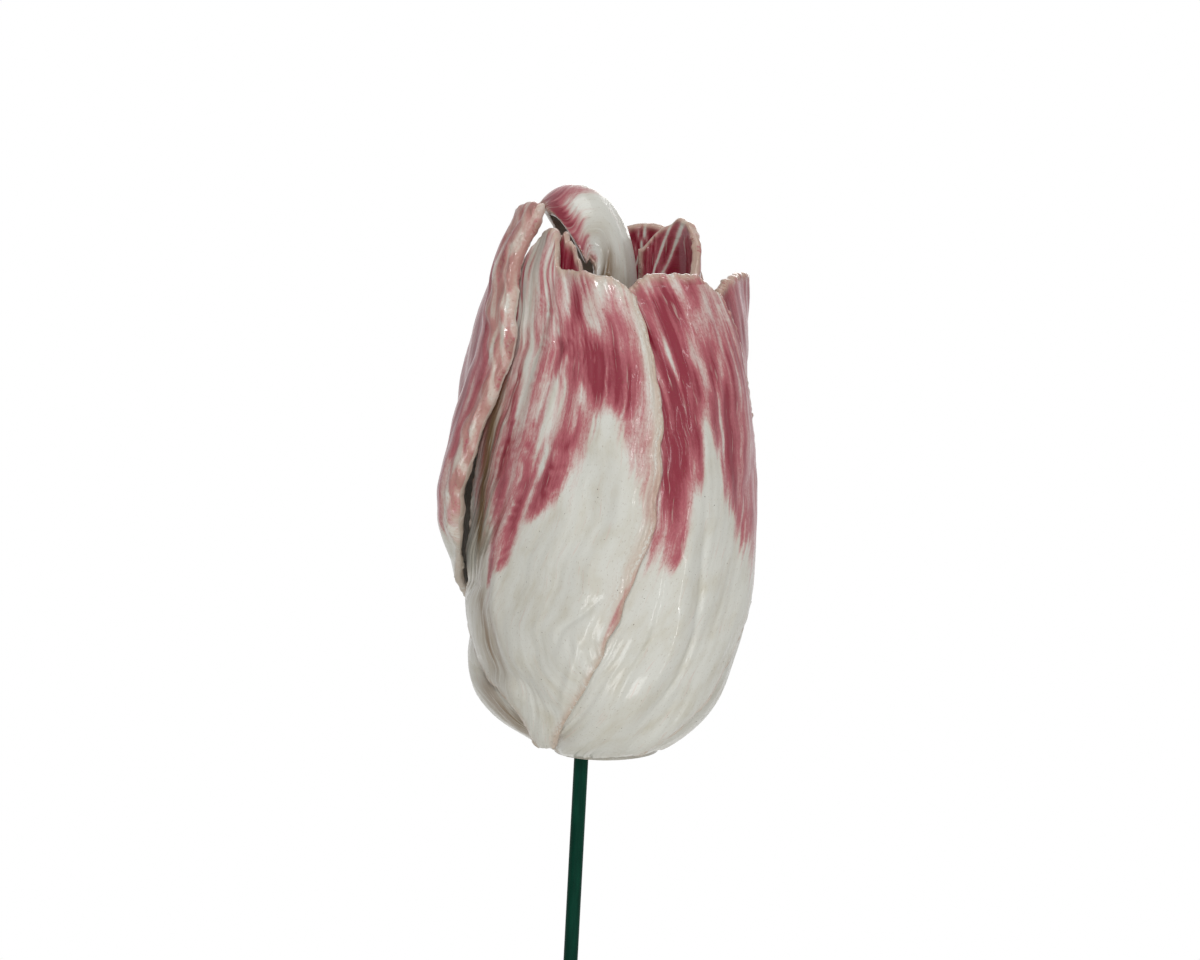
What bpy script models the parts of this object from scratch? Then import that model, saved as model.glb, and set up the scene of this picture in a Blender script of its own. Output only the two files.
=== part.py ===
"""A glazed ceramic tulip on a plastic coated steel rod.

Five outer petals overlap round a closed cup and three inner petals stand inside it. They
are luted on a lump of clay with a blind socket, which pushes onto the rod from above.

The rod runs along +Z from its flat lower end at the origin. The flower faces -Y.
"""

import math

import bpy
import numpy as np

MM = 0.001

# Rod
STEM_LENGTH = 270.0 * MM  # from its foot to the underside of the flower
STEM_DIAMETER = 2.8 * MM
WIRE_DIAMETER = 1.9 * MM
COATING_CLEARANCE = 0.05 * MM  # between the wire and its coating, on the radius
SOCKET_CLEARANCE = 0.2 * MM  # between the rod and its socket, on the radius
SOCKET_DEPTH = 32.0 * MM  # how far the rod reaches into the flower
SOCKET_END_GAP = 0.3 * MM
STEM_SIDES = 16

# How the flower sits on the rod
HEAD_LEAN = 3.0  # degrees, towards -X
STEM_OFFSET = 4.8 * MM  # the rod enters beside the flower's own axis

# The form that the outer petals lie on
BELLY_RADIUS = 27.3 * MM
BELLY_HEIGHT = 47.0 * MM
BASE_FULLNESS = 2.5  # exponent of the rounded base: 2 is an ellipse, more is fuller
BASE_RAISE = 1.0 * MM  # how far the underside is pushed up
MOUTH_HEIGHT = 96.0 * MM
MOUTH_TAPER = 2.0 * MM  # how much narrower the mouth is than the belly
TAPER_POWER = 1.5
LEFT_LEAN = 9.0 * MM  # how far the left side leans in at LEAN_TOP
LEAN_START = 73.0 * MM
LEAN_TOP = 107.0 * MM
LEAN_POWER = 1.5

# Clay
PETAL_THICKNESS = 1.8 * MM
RIM_THICKNESS = 1.1 * MM
SEAT_GAP = 0.4 * MM
EDGE_GAP = 0.5 * MM
CROSSING_GAP = 1.4 * MM  # wider, where the left and front petals change places
FOOT_GAP = 0.6 * MM  # under the inner petals, whose feet lean
CORE_GAP = 0.5 * MM  # between the lump of clay and the outer petals
LAYER = PETAL_THICKNESS + SEAT_GAP  # from one petal's middle to the next one's
CORE_OFFSET = -(LAYER / 2 + PETAL_THICKNESS / 2 + CORE_GAP)  # the lump's side, under the tucked petals
INNER_OFFSET = -1.5 * LAYER  # an inner petal's middle, one layer inside the tucked petals

# How far one outer petal reaches over the next
OVERLAP = 14.0  # degrees
OVERLAP_START = 4.0 * MM
OVERLAP_FULL = 18.0 * MM
LIFT_RAMP = 16.0  # degrees over which a petal rises onto its neighbour
LIFT_START = 1.8 * MM
LIFT_FULL = 4.0 * MM

# Lump of clay inside, and the boss that holds the socket
PETAL_BASE = 1.6 * MM
FRONT_BASE = 4.6 * MM  # the front petal ends higher up, on its two neighbours
CORE_HEIGHT = 19.0 * MM
CORE_SIDES = 48
BOSS_RADIUS = 5.0 * MM
BOSS_ROOF = 3.0 * MM
BOSS_SIDES = 32
BOSS_EDGE = 1.2 * MM

# Heights of the petals' tips
FRONT_TOP = 96.3 * MM
FRONT_FOLD_RISE = 8.3 * MM  # the narrow folded tip at the front petal's left
FRONT_FOLD_AT = -37.0  # degrees
FRONT_FOLD_WIDTH = 11.5  # degrees
RIGHT_TOP = 96.2 * MM
FAR_RIGHT_TOP = 95.0 * MM
BACK_TOP = 102.5 * MM
LEFT_TOP = 109.5 * MM
LEFT_BULGE = 2.8 * MM  # how far the left petal stands off at its middle
LEFT_ROLL = 3.6 * MM  # thickness of its rolled free rim
LEFT_ROLL_FROM = 38.0 * MM  # height where the roll begins
LEFT_ROLL_GROWS = 12.0 * MM
LEFT_STAND = 0.5 * MM  # more room behind the rolled rim
LEFT_BULGE_HEIGHT = 54.0 * MM
LEFT_BULGE_SPREAD = 14.0 * MM
LEFT_FOOT_BULGE = 2.8 * MM  # how far its foot stands out
LEFT_FOOT_HEIGHT = 17.0 * MM
LEFT_FOOT_SPREAD = 10.0 * MM
LEFT_FOOT_FROM = 0.3  # share of the width, clear of the back petal's overlap
LEFT_FOOT_RAMP = 0.35

# Hood: an upright gutter of clay that twists as it rises, and whose top curls over to the left
HOOD_RADIUS = 10.8 * MM
HOOD_SPRING = 92.0 * MM  # height where the curl begins
HOOD_TOP = 110.6 * MM
HOOD_CURL = 128.0  # degrees that the top turns over
HOOD_FOOT_FACE = 165.0  # azimuth of the gutter's middle at its foot
HOOD_FACE = 105.0  # and at its top
HOOD_TWIST_FROM = 38.0 * MM
HOOD_TWIST_TO = 84.0 * MM
HOOD_FOOT_WIDTH = 44.0  # half of it, in degrees
HOOD_SEAT = 245.0  # azimuth of its middle line's lean
HOOD_REACH = 6.3 * MM  # its distance from the flower's axis at the top

# Ragged petal at the back right
BACK_RIGHT_RADIUS = 9.6 * MM
BACK_RIGHT_TOP = 103.6 * MM
BACK_RIGHT_FACE = 115.0
BACK_RIGHT_SEAT = 130.0
BACK_RIGHT_REACH = 10.4 * MM
BACK_RIGHT_FOOT_WIDTH = 45.0  # half of it, in degrees
BACK_RIGHT_WIDTH = 75.0

# Small ragged petal behind the front one
INNER_FROM = -40.0  # degrees
INNER_TO = -8.0
INNER_TOP = 103.0 * MM

SEATED_UP_TO = 45.0 * MM  # inner petals leave the outer ones above this height
FREE_FROM = 92.0 * MM

# Mesh density
ROWS = 22
COLUMNS = 11
CURL_ROWS = 12

# Colours, linear
CREAM = (0.60, 0.58, 0.50, 1.0)
ROSE = (0.36, 0.045, 0.085, 1.0)
PALE = (0.50, 0.44, 0.36, 1.0)
CLAY = (0.45, 0.40, 0.31, 1.0)
GREEN = (0.006, 0.038, 0.024, 1.0)
STEEL = (0.50, 0.50, 0.48, 1.0)

# Seams between outer petals: (share of the mouth's height, degrees of azimuth). Azimuth 0
# is the front and 90 the right.
FRONT_RIGHT_SEAM = (
    (0.02, -57), (0.05, -41), (0.083, -29), (0.155, -13), (0.21, -6), (0.29, 2),
    (0.40, 10.5), (0.51, 19), (0.63, 22), (0.72, 23), (0.81, 21), (0.90, 17), (0.96, 13.5), (1.0, 11),
)
RIGHT_FAR_SEAM = (
    (0.02, 30), (0.10, 48), (0.26, 72), (0.47, 90), (0.63, 88), (0.78, 76), (0.89, 63), (1.0, 52),
)
FAR_BACK_SEAM = ((0.02, 110), (0.20, 128), (0.47, 138), (0.73, 130), (0.94, 112), (1.0, 105))
BACK_LEFT_SEAM = ((0.02, 190), (0.20, 212), (0.47, 222), (0.73, 222), (0.94, 215), (1.1, 210))
LEFT_FRONT_SEAM = (
    (0.02, 303), (0.05, 305), (0.09, 311), (0.135, 309), (0.165, 302), (0.19, 292), (0.22, 278),
    (0.26, 269), (0.31, 267), (0.35, 271), (0.39, 280), (0.46, 293), (0.57, 301), (0.68, 308), (0.77, 315),
    (0.85, 320), (0.93, 317), (1.02, 312.5), (1.06, 317), (1.10, 322), (1.14, 324),
)
# Which petal of a seam lies on top: 1 is the one before it, -1 the one after it.
ALWAYS_BEFORE = ((0.0, 1.0), (1.0, 1.0))
LEFT_FRONT_ORDER = ((0.14, -1.0), (0.18, -0.35), (0.22, 0.0), (0.32, 0.0), (0.37, 0.35), (0.44, 1.0))

# Half widths of the hood's curl: (share of the curl, degrees) at its front and back margins
HOOD_FRONT_MARGIN = ((0.0, 106), (0.27, 97), (0.39, 86), (0.55, 71), (0.70, 67), (0.92, 54), (1.0, 18))
HOOD_BACK_MARGIN = ((0.0, 85), (0.60, 75), (0.92, 40), (1.0, 14))

# Top outlines: (share of the width from its left edge, rise over the named top as a share of the mouth's height)
FRONT_OUTLINE = ((0.0, -0.04), (0.2, -0.015), (0.4, 0), (0.8, 0), (0.92, -0.012), (1.0, -0.04))
RIGHT_OUTLINE = ((0.0, -0.0625), (0.2, -0.0292), (0.35, -0.0042), (0.6, 0), (0.8, -0.0062), (1.0, -0.0469))
FAR_RIGHT_OUTLINE = ((0.0, -0.0833), (0.35, -0.0104), (0.6, 0), (0.8, -0.0104), (1.0, -0.0625))
BACK_OUTLINE = ((0.0, -0.1562), (0.3, -0.1146), (0.45, -0.0208), (0.58, 0), (0.75, -0.0312), (1.0, -0.1458))
LEFT_OUTLINE = (
    (0.0, -0.26), (0.3, -0.177), (0.53, -0.095), (0.67, -0.058), (0.82, -0.022), (0.92, 0.0), (1.0, -0.016),
)
BACK_RIGHT_OUTLINE = (
    (0.0, -0.14), (0.2, -0.10), (0.38, -0.04), (0.55, 0), (0.68, 0), (0.85, -0.026), (1.0, -0.06),
)
INNER_OUTLINE = ((0.0, -0.0417), (0.2, -0.0052), (0.45, 0), (0.7, -0.0312), (1.0, -0.0937))


def smoothstep(x):
    """Eases from 0 to 1 as x goes from 0 to 1."""
    x = np.clip(x, 0.0, 1.0)
    return x * x * (3.0 - 2.0 * x)


def through(stations, x):
    """A smooth curve through (position, value) stations, level outside them."""
    places, values = np.array(stations, float).T
    slopes = np.gradient(values, places)
    slopes[[0, -1]] = 0.0
    x = np.clip(x, places[0], places[-1])
    i = np.clip(np.searchsorted(places, x) - 1, 0, len(places) - 2)
    span = places[i + 1] - places[i]
    t = (x - places[i]) / span
    return (
        values[i] * (1 + 2 * t) * (1 - t) ** 2
        + slopes[i] * span * t * (1 - t) ** 2
        + values[i + 1] * t * t * (3 - 2 * t)
        - slopes[i + 1] * span * t * t * (1 - t)
    )


def form_radius(height):
    """Radius of the round form: a superellipse up to the belly, then a slow taper."""
    below = np.clip((BELLY_HEIGHT - height) / BELLY_HEIGHT, 0.0, 1.0)
    base = BELLY_RADIUS * (1 - below**BASE_FULLNESS) ** (1 / BASE_FULLNESS)
    above = np.maximum(height - BELLY_HEIGHT, 0.0) / (MOUTH_HEIGHT - BELLY_HEIGHT)
    return base - MOUTH_TAPER * above**TAPER_POWER


def full_lean(height):
    """How far the form's left side has moved in at a height."""
    return LEFT_LEAN * (np.maximum(height - LEAN_START, 0.0) / (LEAN_TOP - LEAN_START)) ** LEAN_POWER


def on_form(azimuth, height, offset):
    """Points at an azimuth and a height on the form, moved along its normal by an offset."""
    step = PETAL_BASE * 0.02
    low, high = np.maximum(height - step, 0.0), height + step
    slope = (form_radius(high) - form_radius(low)) / (high - low)
    outward = 1 / np.hypot(1, slope)
    angle = np.radians(azimuth)
    leaning = full_lean(height) * (0.5 - 0.5 * np.sin(angle)) ** TAPER_POWER
    radius = form_radius(height) - leaning + offset * outward
    pushed_up = BASE_RAISE * np.clip((BELLY_HEIGHT - height) / BELLY_HEIGHT, 0.0, 1.0) ** 2
    z = height + pushed_up - offset * slope * outward
    return np.stack([radius * np.sin(angle), -radius * np.cos(angle), z], axis=-1)


def seam(stations, order, height):
    """The two edges of a seam, in degrees, and how far each of its petals is lifted, 0 to 1."""
    share = height / MOUTH_HEIGHT
    middle = through(stations, share)
    side = through(order, share)
    opened = smoothstep((height - LIFT_START) / (LIFT_FULL - LIFT_START))
    reach = np.clip((height - OVERLAP_START) / (OVERLAP_FULL - OVERLAP_START), 0.0, 1.0)
    over = OVERLAP * reach * np.sign(side) * np.clip((np.abs(side) - 0.4) / 0.6, 0.0, 1.0)
    crack = np.degrees(EDGE_GAP / form_radius(height)) / 2
    changing = np.degrees(CROSSING_GAP / form_radius(height)) * (1 - smoothstep(np.abs(side) / 0.5))
    before_edge = middle - crack - changing + np.maximum(-over, 0.0)
    after_edge = middle + crack - np.maximum(over, 0.0)
    return (
        before_edge, after_edge,
        opened * smoothstep(side / 0.35), opened * smoothstep(-side / 0.35),
    )


def rows_to(base, top, count):
    """Heights from the petal's base to its top, closer together near the base."""
    v = np.linspace(0.0, 1.0, count)[:, None]
    return base + (top[None, :] - base) * v**1.5


def rolled(height, across):
    """Extra thickness of the left petal's free rim, on its right-hand edge."""
    up = smoothstep((height - LEFT_ROLL_FROM) / LEFT_ROLL_GROWS)
    return (LEFT_ROLL - PETAL_THICKNESS) * up * smoothstep((across - 0.72) / 0.2)[None, :]


def outer_petal(
    left_seam, left_order, right_seam, right_order, turn, top, outline,
    base=PETAL_BASE, fold=0.0, bulge=0.0, foot_bulge=0.0, roll=False,
):
    """An outer petal between the seam on its left and the one on its right.

    Returns the grid of its middle surface and the clay's thickness over that grid.
    """
    across = np.linspace(0.0, 1.0, COLUMNS)
    tops = top + MOUTH_HEIGHT * through(outline, across)
    if fold:
        left = seam(left_seam, left_order, np.full(COLUMNS, FRONT_TOP))[1] + turn
        right = seam(right_seam, right_order, np.full(COLUMNS, FRONT_TOP))[0]
        here = left + across * (right - left)
        tops = tops + fold * np.exp(-(((here - FRONT_FOLD_AT) / FRONT_FOLD_WIDTH) ** 4))
    height = rows_to(base, tops, ROWS)
    _, start, start_under, start_over = seam(left_seam, left_order, height)
    end, _, end_over, end_under = seam(right_seam, right_order, height)
    start = start + turn
    azimuth = start + across[None, :] * (end - start)
    crossed = OVERLAP * np.clip(height / OVERLAP_FULL, 0.0, 1.0)
    from_end = 1 - smoothstep((end - azimuth - crossed) / LIFT_RAMP)
    from_start = 1 - smoothstep((azimuth - start - crossed) / LIFT_RAMP)
    # Half a layer out where it lies on top and half a layer in where it is tucked under
    at_end, at_start = from_end * (end_over - end_under), from_start * (start_over - start_under)
    offset = LAYER / 2 * np.clip(at_end + at_start, -1.0, 1.0)
    standing = np.exp(-(((height - LEFT_BULGE_HEIGHT) / LEFT_BULGE_SPREAD) ** 2))
    offset = offset + bulge * standing * smoothstep(across / 0.5)[None, :]
    low = np.exp(-(((height - LEFT_FOOT_HEIGHT) / LEFT_FOOT_SPREAD) ** 2))
    offset = offset + foot_bulge * low * (
        smoothstep((across - LEFT_FOOT_FROM) / LEFT_FOOT_RAMP) * smoothstep((1 - across) / LEFT_FOOT_RAMP)
    )[None, :]
    thickness = clay(height.shape)
    if roll:
        more = rolled(height, across)
        thickness = np.maximum(thickness, more + PETAL_THICKNESS * (more > 0))
        offset = offset + more / 2 + LEFT_STAND * more / (LEFT_ROLL - PETAL_THICKNESS)
    return on_form(azimuth, height, offset), thickness


def core_top():
    """Height of the lump's flat top, whose edge is square to the form."""
    return float(on_form(0.0, np.asarray(CORE_HEIGHT), CORE_OFFSET)[2])


def clay(shape):
    """Thickness of a plain petal over its grid: thinner at the rim."""
    thickness = np.full(shape, RIM_THICKNESS)
    thickness[1:-1, 1:-1] = PETAL_THICKNESS
    return thickness


def seated_distance(radius, height, seat, reach):
    """Distance from the flower's axis to the middle of an inner petal's arc."""
    leaning = full_lean(height) * (0.5 - 0.5 * math.sin(math.radians(seat))) ** TAPER_POWER
    touching = form_radius(height) - leaning + INNER_OFFSET - radius
    free = smoothstep((height - SEATED_UP_TO) / (FREE_FROM - SEATED_UP_TO))
    return touching * (1 - free) + np.minimum(reach, touching) * free


def inner_arc(radius, seat, reach, azimuth, height):
    """Points of an upright arc of clay whose middle line leans towards its seat."""
    distance = seated_distance(radius, height, seat, reach)
    towards, angle = math.radians(seat), np.radians(azimuth)
    x = distance * math.sin(towards) + radius * np.sin(angle)
    y = -distance * math.cos(towards) - radius * np.cos(angle)
    return np.stack([x, y, np.broadcast_to(height, x.shape)], axis=-1)


def hood_sheet():
    """The hood: a twisting upright gutter, then part of an egg that curls over to the left."""
    across = np.linspace(0.0, 1.0, COLUMNS + 4)[None, :]
    base = core_top() + FOOT_GAP
    height = np.linspace(base, HOOD_SPRING, ROWS - 4)[:, None]
    widened = smoothstep((height - base) / (BELLY_HEIGHT - base))
    front = HOOD_FOOT_WIDTH + (HOOD_FRONT_MARGIN[0][1] - HOOD_FOOT_WIDTH) * widened
    back = HOOD_FOOT_WIDTH + (HOOD_BACK_MARGIN[0][1] - HOOD_FOOT_WIDTH) * widened
    twisted = smoothstep((height - HOOD_TWIST_FROM) / (HOOD_TWIST_TO - HOOD_TWIST_FROM))
    azimuth = HOOD_FOOT_FACE + (HOOD_FACE - HOOD_FOOT_FACE) * twisted - front + across * (front + back)
    wall = inner_arc(HOOD_RADIUS, HOOD_SEAT, HOOD_REACH, azimuth, height)
    share = np.linspace(0.0, 1.0, CURL_ROWS + 1)[1:, None]
    curl = np.radians(HOOD_CURL * share)
    front, back = through(HOOD_FRONT_MARGIN, share), through(HOOD_BACK_MARGIN, share)
    cross = np.radians(across * (front + back) - front)
    distance = float(seated_distance(HOOD_RADIUS, HOOD_SPRING, HOOD_SEAT, HOOD_REACH))
    seat, face = math.radians(HOOD_SEAT), math.radians(HOOD_FACE)
    out = HOOD_RADIUS * np.cos(cross) * np.cos(curl)
    side = HOOD_RADIUS * np.sin(cross)
    x = distance * math.sin(seat) + out * math.sin(face) + side * math.cos(face)
    y = -distance * math.cos(seat) - out * math.cos(face) + side * math.sin(face)
    z = HOOD_SPRING + (HOOD_TOP - HOOD_SPRING) * np.cos(cross) * np.sin(curl)
    sheet = np.concatenate([wall, np.stack([x, y, z], axis=-1)])
    return sheet, clay(sheet.shape[:2])


def back_right_sheet():
    """The ragged inner petal at the back right."""
    across = np.linspace(0.0, 1.0, COLUMNS)[None, :]
    base = core_top() + FOOT_GAP
    top = BACK_RIGHT_TOP + MOUTH_HEIGHT * through(BACK_RIGHT_OUTLINE, across)
    height = base + (top - base) * np.linspace(0.0, 1.0, ROWS - 4)[:, None]
    widened = smoothstep((height - base) / (BELLY_HEIGHT - base))
    spread = BACK_RIGHT_FOOT_WIDTH + (BACK_RIGHT_WIDTH - BACK_RIGHT_FOOT_WIDTH) * widened
    azimuth = BACK_RIGHT_FACE + spread * (2 * across - 1)
    sheet = inner_arc(BACK_RIGHT_RADIUS, BACK_RIGHT_SEAT, BACK_RIGHT_REACH, azimuth, height)
    return sheet, clay(sheet.shape[:2])


def inner_ragged_sheet():
    """The small petal that lines the front one, one layer further in."""
    across = np.linspace(0.0, 1.0, COLUMNS - 3)[None, :]
    offset = INNER_OFFSET - SEAT_GAP
    rise = float(on_form(0.0, np.asarray(CORE_HEIGHT), offset)[2]) - CORE_HEIGHT
    base = core_top() + FOOT_GAP - rise
    top = INNER_TOP + MOUTH_HEIGHT * through(INNER_OUTLINE, across)
    height = base + (top - base) * np.linspace(0.0, 1.0, ROWS - 4)[:, None]
    azimuth = INNER_FROM + (INNER_TO - INNER_FROM) * across + 0.0 * height
    return on_form(azimuth, height, np.full_like(height, offset)), clay(height.shape)


def material(name, colour, roughness, metallic=0.0):
    made = bpy.data.materials.new(name)
    made.use_nodes = True
    shader = made.node_tree.nodes["Principled BSDF"]
    shader.inputs["Base Color"].default_value = colour
    shader.inputs["Roughness"].default_value = roughness
    shader.inputs["Metallic"].default_value = metallic
    return made


def add_object(name, mesh, finish, parent):
    made = bpy.data.objects.new(name, mesh)
    bpy.context.scene.collection.objects.link(made)
    mesh.materials.append(finish)
    made.parent = parent
    return made


def add_empty(name, location, parent=None, lean=0.0):
    made = bpy.data.objects.new(name, None)
    bpy.context.scene.collection.objects.link(made)
    made.location = location
    made.rotation_euler = (0.0, lean, 0.0)
    made.parent = parent
    return made


def add_petal(name, shaped, colour, parent):
    """A petal from its middle surface and its thickness: a sheet of quads, thickened."""
    sheet, thickness = shaped
    rows, columns = sheet.shape[:2]
    index = np.arange(rows * columns).reshape(rows, columns)
    quads = np.stack([index[:-1, :-1], index[:-1, 1:], index[1:, 1:], index[1:, :-1]], axis=-1)
    mesh = bpy.data.meshes.new(name)
    mesh.from_pydata(sheet.reshape(-1, 3).tolist(), [], quads.reshape(-1, 4).tolist())
    mesh.shade_smooth()
    made = add_object(name, mesh, material(name, colour, 0.2), parent)
    body = made.vertex_groups.new(name="clay")
    for vertex, share in enumerate((thickness / thickness.max()).reshape(-1).tolist()):
        body.add([vertex], share, "REPLACE")
    thicken = made.modifiers.new("thickness", "SOLIDIFY")
    thicken.thickness = thickness.max()
    thicken.offset = 0.0
    thicken.use_even_offset = True
    thicken.vertex_group = "clay"
    return made


def add_turned(name, profile, sides, colour, parent, location=(0.0, 0.0, 0.0), roughness=0.5, ring=False):
    """A turned piece from its (radius, height) profile, which runs down its outer side.

    The profile starts and ends on the axis, or closes on itself for a ring.
    """
    mesh = bpy.data.meshes.new(name)
    edges = [(i, i + 1) for i in range(len(profile) - 1)]
    if ring:
        edges.append((len(profile) - 1, 0))
    mesh.from_pydata([(radius, 0.0, height) for radius, height in profile], edges, [])
    made = add_object(name, mesh, material(name, colour, roughness), parent)
    made.location = location
    turn = made.modifiers.new("turn", "SCREW")
    turn.axis = "Z"
    turn.steps = turn.render_steps = sides
    turn.use_merge_vertices = True
    turn.merge_threshold = 0.00001
    turn.use_smooth_shade = True
    return made


def bore_with(made, cutter):
    cut = made.modifiers.new("rod_bore", "BOOLEAN")
    cut.operation = "DIFFERENCE"
    cut.solver = "EXACT"
    cut.object = cutter


def core_profile():
    """The lump of clay: its button closes the flower below, and the petals lie on its sides."""
    def section(height, offset):
        x, y, z = on_form(0.0, np.asarray(height, float), offset).tolist()
        return math.hypot(x, y), z

    seat = CORE_OFFSET
    sides = [section(h, seat) for h in np.linspace(CORE_HEIGHT, PETAL_BASE, 9)]
    outer, inner = section(PETAL_BASE, PETAL_THICKNESS / 2), section(PETAL_BASE, seat)
    ahead, here = section(PETAL_BASE * 1.05, 0.0), section(PETAL_BASE, 0.0)
    length = math.dist(ahead, here)
    back = [SEAT_GAP * (here[k] - ahead[k]) / length for k in range(2)]
    sides[-1] = (inner[0] + back[0], inner[1] + back[1])
    shoulder = (outer[0] + back[0], outer[1] + back[1])
    lowest = BASE_RAISE - PETAL_THICKNESS / 2
    button = [(shoulder[0] * q, lowest + (shoulder[1] - lowest) * q * q) for q in np.linspace(1.0, 0.0, 7)]
    return [(0.0, sides[0][1])] + sides + button


def boss_profile(height):
    """The socket's boss: a post with a rounded top."""
    arc = [
        (BOSS_RADIUS - BOSS_EDGE + BOSS_EDGE * math.sin(a), height - BOSS_EDGE + BOSS_EDGE * math.cos(a))
        for a in np.linspace(0.0, math.pi / 2, 5)
    ]
    return [(0.0, height)] + arc + [(BOSS_RADIUS, 0.0), (0.0, 0.0)]


def tube_profile(inner, outer, length):
    return [(inner, 0.0), (inner, length), (outer, length), (outer, 0.0)]


def main():
    for old in list(bpy.data.objects):
        bpy.data.objects.remove(old, do_unlink=True)

    # Rod
    rod_axis = add_empty("rod_axis", (0.0, 0.0, 0.0))
    rod_length = STEM_LENGTH + SOCKET_DEPTH
    sleeve_bore = WIRE_DIAMETER / 2 + COATING_CLEARANCE
    add_turned(
        "stem_wire", [(0.0, rod_length), (WIRE_DIAMETER / 2, rod_length), (WIRE_DIAMETER / 2, 0.0), (0.0, 0.0)],
        STEM_SIDES, STEEL, rod_axis, roughness=0.35,
    ).data.materials[0].node_tree.nodes["Principled BSDF"].inputs["Metallic"].default_value = 1.0
    add_turned(
        "stem_coating", tube_profile(sleeve_bore, STEM_DIAMETER / 2, rod_length),
        STEM_SIDES, GREEN, rod_axis, roughness=0.35, ring=True,
    )

    # The flower lifts off along the rod, so its frame hangs from an empty on that axis.
    lift_axis = add_empty("head_lift_axis", (0.0, 0.0, STEM_LENGTH))
    lean = math.radians(HEAD_LEAN)
    head = add_empty("flower_head", (STEM_OFFSET, 0.0, 0.0), lift_axis, -lean)

    bore = STEM_DIAMETER / 2 + SOCKET_CLEARANCE
    cutter_top = SOCKET_DEPTH + SOCKET_END_GAP
    cutter_bottom = -2 * PETAL_THICKNESS
    cutter = add_turned(
        "socket_cutter", [(0.0, cutter_top), (bore, cutter_top), (bore, cutter_bottom), (0.0, cutter_bottom)],
        STEM_SIDES, CLAY, lift_axis,
    )
    cutter.hide_render = True
    cutter.display_type = "WIRE"

    core = add_turned("flower_core", core_profile(), CORE_SIDES, CREAM, head, roughness=0.3)
    bore_with(core, cutter)
    boss_foot = core_top() + SEAT_GAP
    boss_height = SOCKET_DEPTH + SOCKET_END_GAP + BOSS_ROOF - boss_foot
    boss_middle = boss_foot + boss_height / 2
    boss = add_turned(
        "socket_boss", boss_profile(boss_height), BOSS_SIDES, CLAY, head, roughness=0.6,
        location=(-STEM_OFFSET * math.cos(lean) + boss_middle * math.sin(lean), 0.0, boss_foot),
    )
    bore_with(boss, cutter)

    # Outer petals, each with its left seam and its right one
    front_left = (LEFT_FRONT_SEAM, LEFT_FRONT_ORDER)
    front_right = (FRONT_RIGHT_SEAM, ALWAYS_BEFORE)
    right_far = (RIGHT_FAR_SEAM, ALWAYS_BEFORE)
    far_back = (FAR_BACK_SEAM, ALWAYS_BEFORE)
    back_left = (BACK_LEFT_SEAM, ALWAYS_BEFORE)
    full_turn = 360.0
    add_petal(
        "petal_front",
        outer_petal(
            *front_left, *front_right, -full_turn, FRONT_TOP, FRONT_OUTLINE,
            base=FRONT_BASE, fold=FRONT_FOLD_RISE,
        ),
        ROSE, head,
    )
    add_petal("petal_right", outer_petal(*front_right, *right_far, 0.0, RIGHT_TOP, RIGHT_OUTLINE), ROSE, head)
    add_petal(
        "petal_far_right", outer_petal(*right_far, *far_back, 0.0, FAR_RIGHT_TOP, FAR_RIGHT_OUTLINE), ROSE, head
    )
    add_petal("petal_back", outer_petal(*far_back, *back_left, 0.0, BACK_TOP, BACK_OUTLINE), ROSE, head)
    add_petal(
        "petal_left",
        outer_petal(
            *back_left, *front_left, 0.0, LEFT_TOP, LEFT_OUTLINE,
            bulge=LEFT_BULGE, foot_bulge=LEFT_FOOT_BULGE, roll=True,
        ),
        ROSE, head,
    )

    # Inner petals
    add_petal("petal_hood", hood_sheet(), PALE, head)
    add_petal("petal_back_right", back_right_sheet(), ROSE, head)
    add_petal("petal_inner_ragged", inner_ragged_sheet(), ROSE, head)


if __name__ == "__main__":
    main()
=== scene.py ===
"""The ceramic tulip dressed for its picture: hand-built glazed petals on a coated rod.

Shapes are worked out in millimetres in the flower's own frame, which stands upright in the
picture with azimuth 0 at the front (-Y) and 90 at the right (+X). They are put into the
row frame, in metres, when they become meshes.
"""

import logging
import math
from dataclasses import dataclass
from enum import Enum

import bpy
import numpy as np
from mathutils import Matrix, Vector


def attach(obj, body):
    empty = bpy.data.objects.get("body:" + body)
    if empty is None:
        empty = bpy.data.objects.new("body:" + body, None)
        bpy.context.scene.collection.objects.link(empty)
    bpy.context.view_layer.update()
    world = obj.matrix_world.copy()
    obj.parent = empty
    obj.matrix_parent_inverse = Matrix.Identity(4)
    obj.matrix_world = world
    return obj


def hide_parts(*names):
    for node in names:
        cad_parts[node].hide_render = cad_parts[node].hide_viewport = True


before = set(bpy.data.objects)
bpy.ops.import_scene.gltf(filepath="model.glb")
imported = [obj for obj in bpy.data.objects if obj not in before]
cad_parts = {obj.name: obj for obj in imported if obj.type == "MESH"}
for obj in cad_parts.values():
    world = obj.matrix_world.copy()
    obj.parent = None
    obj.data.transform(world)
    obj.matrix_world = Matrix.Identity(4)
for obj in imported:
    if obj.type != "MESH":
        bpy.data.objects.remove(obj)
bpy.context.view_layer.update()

MM = 0.001
FULL_TURN = 360.0
log = logging.getLogger("tulip")

Grid = np.ndarray
Stations = tuple[tuple[float, float], ...]
Finish = bpy.types.Material
Thing = bpy.types.Object
Tree = bpy.types.NodeTree
Node = bpy.types.Node
Socket = bpy.types.NodeSocket
Value = float | tuple[float, ...] | Socket  # what a node's input takes


class Face(Enum):
    """The two faces of a petal, with the side of its middle surface that each lies on."""

    OUTER = 1.0
    INNER = -1.0


def smoothstep(x: Grid) -> Grid:
    """Eases from 0 to 1 as x goes from 0 to 1."""
    x = np.clip(x, 0.0, 1.0)
    return x * x * (3.0 - 2.0 * x)


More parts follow.
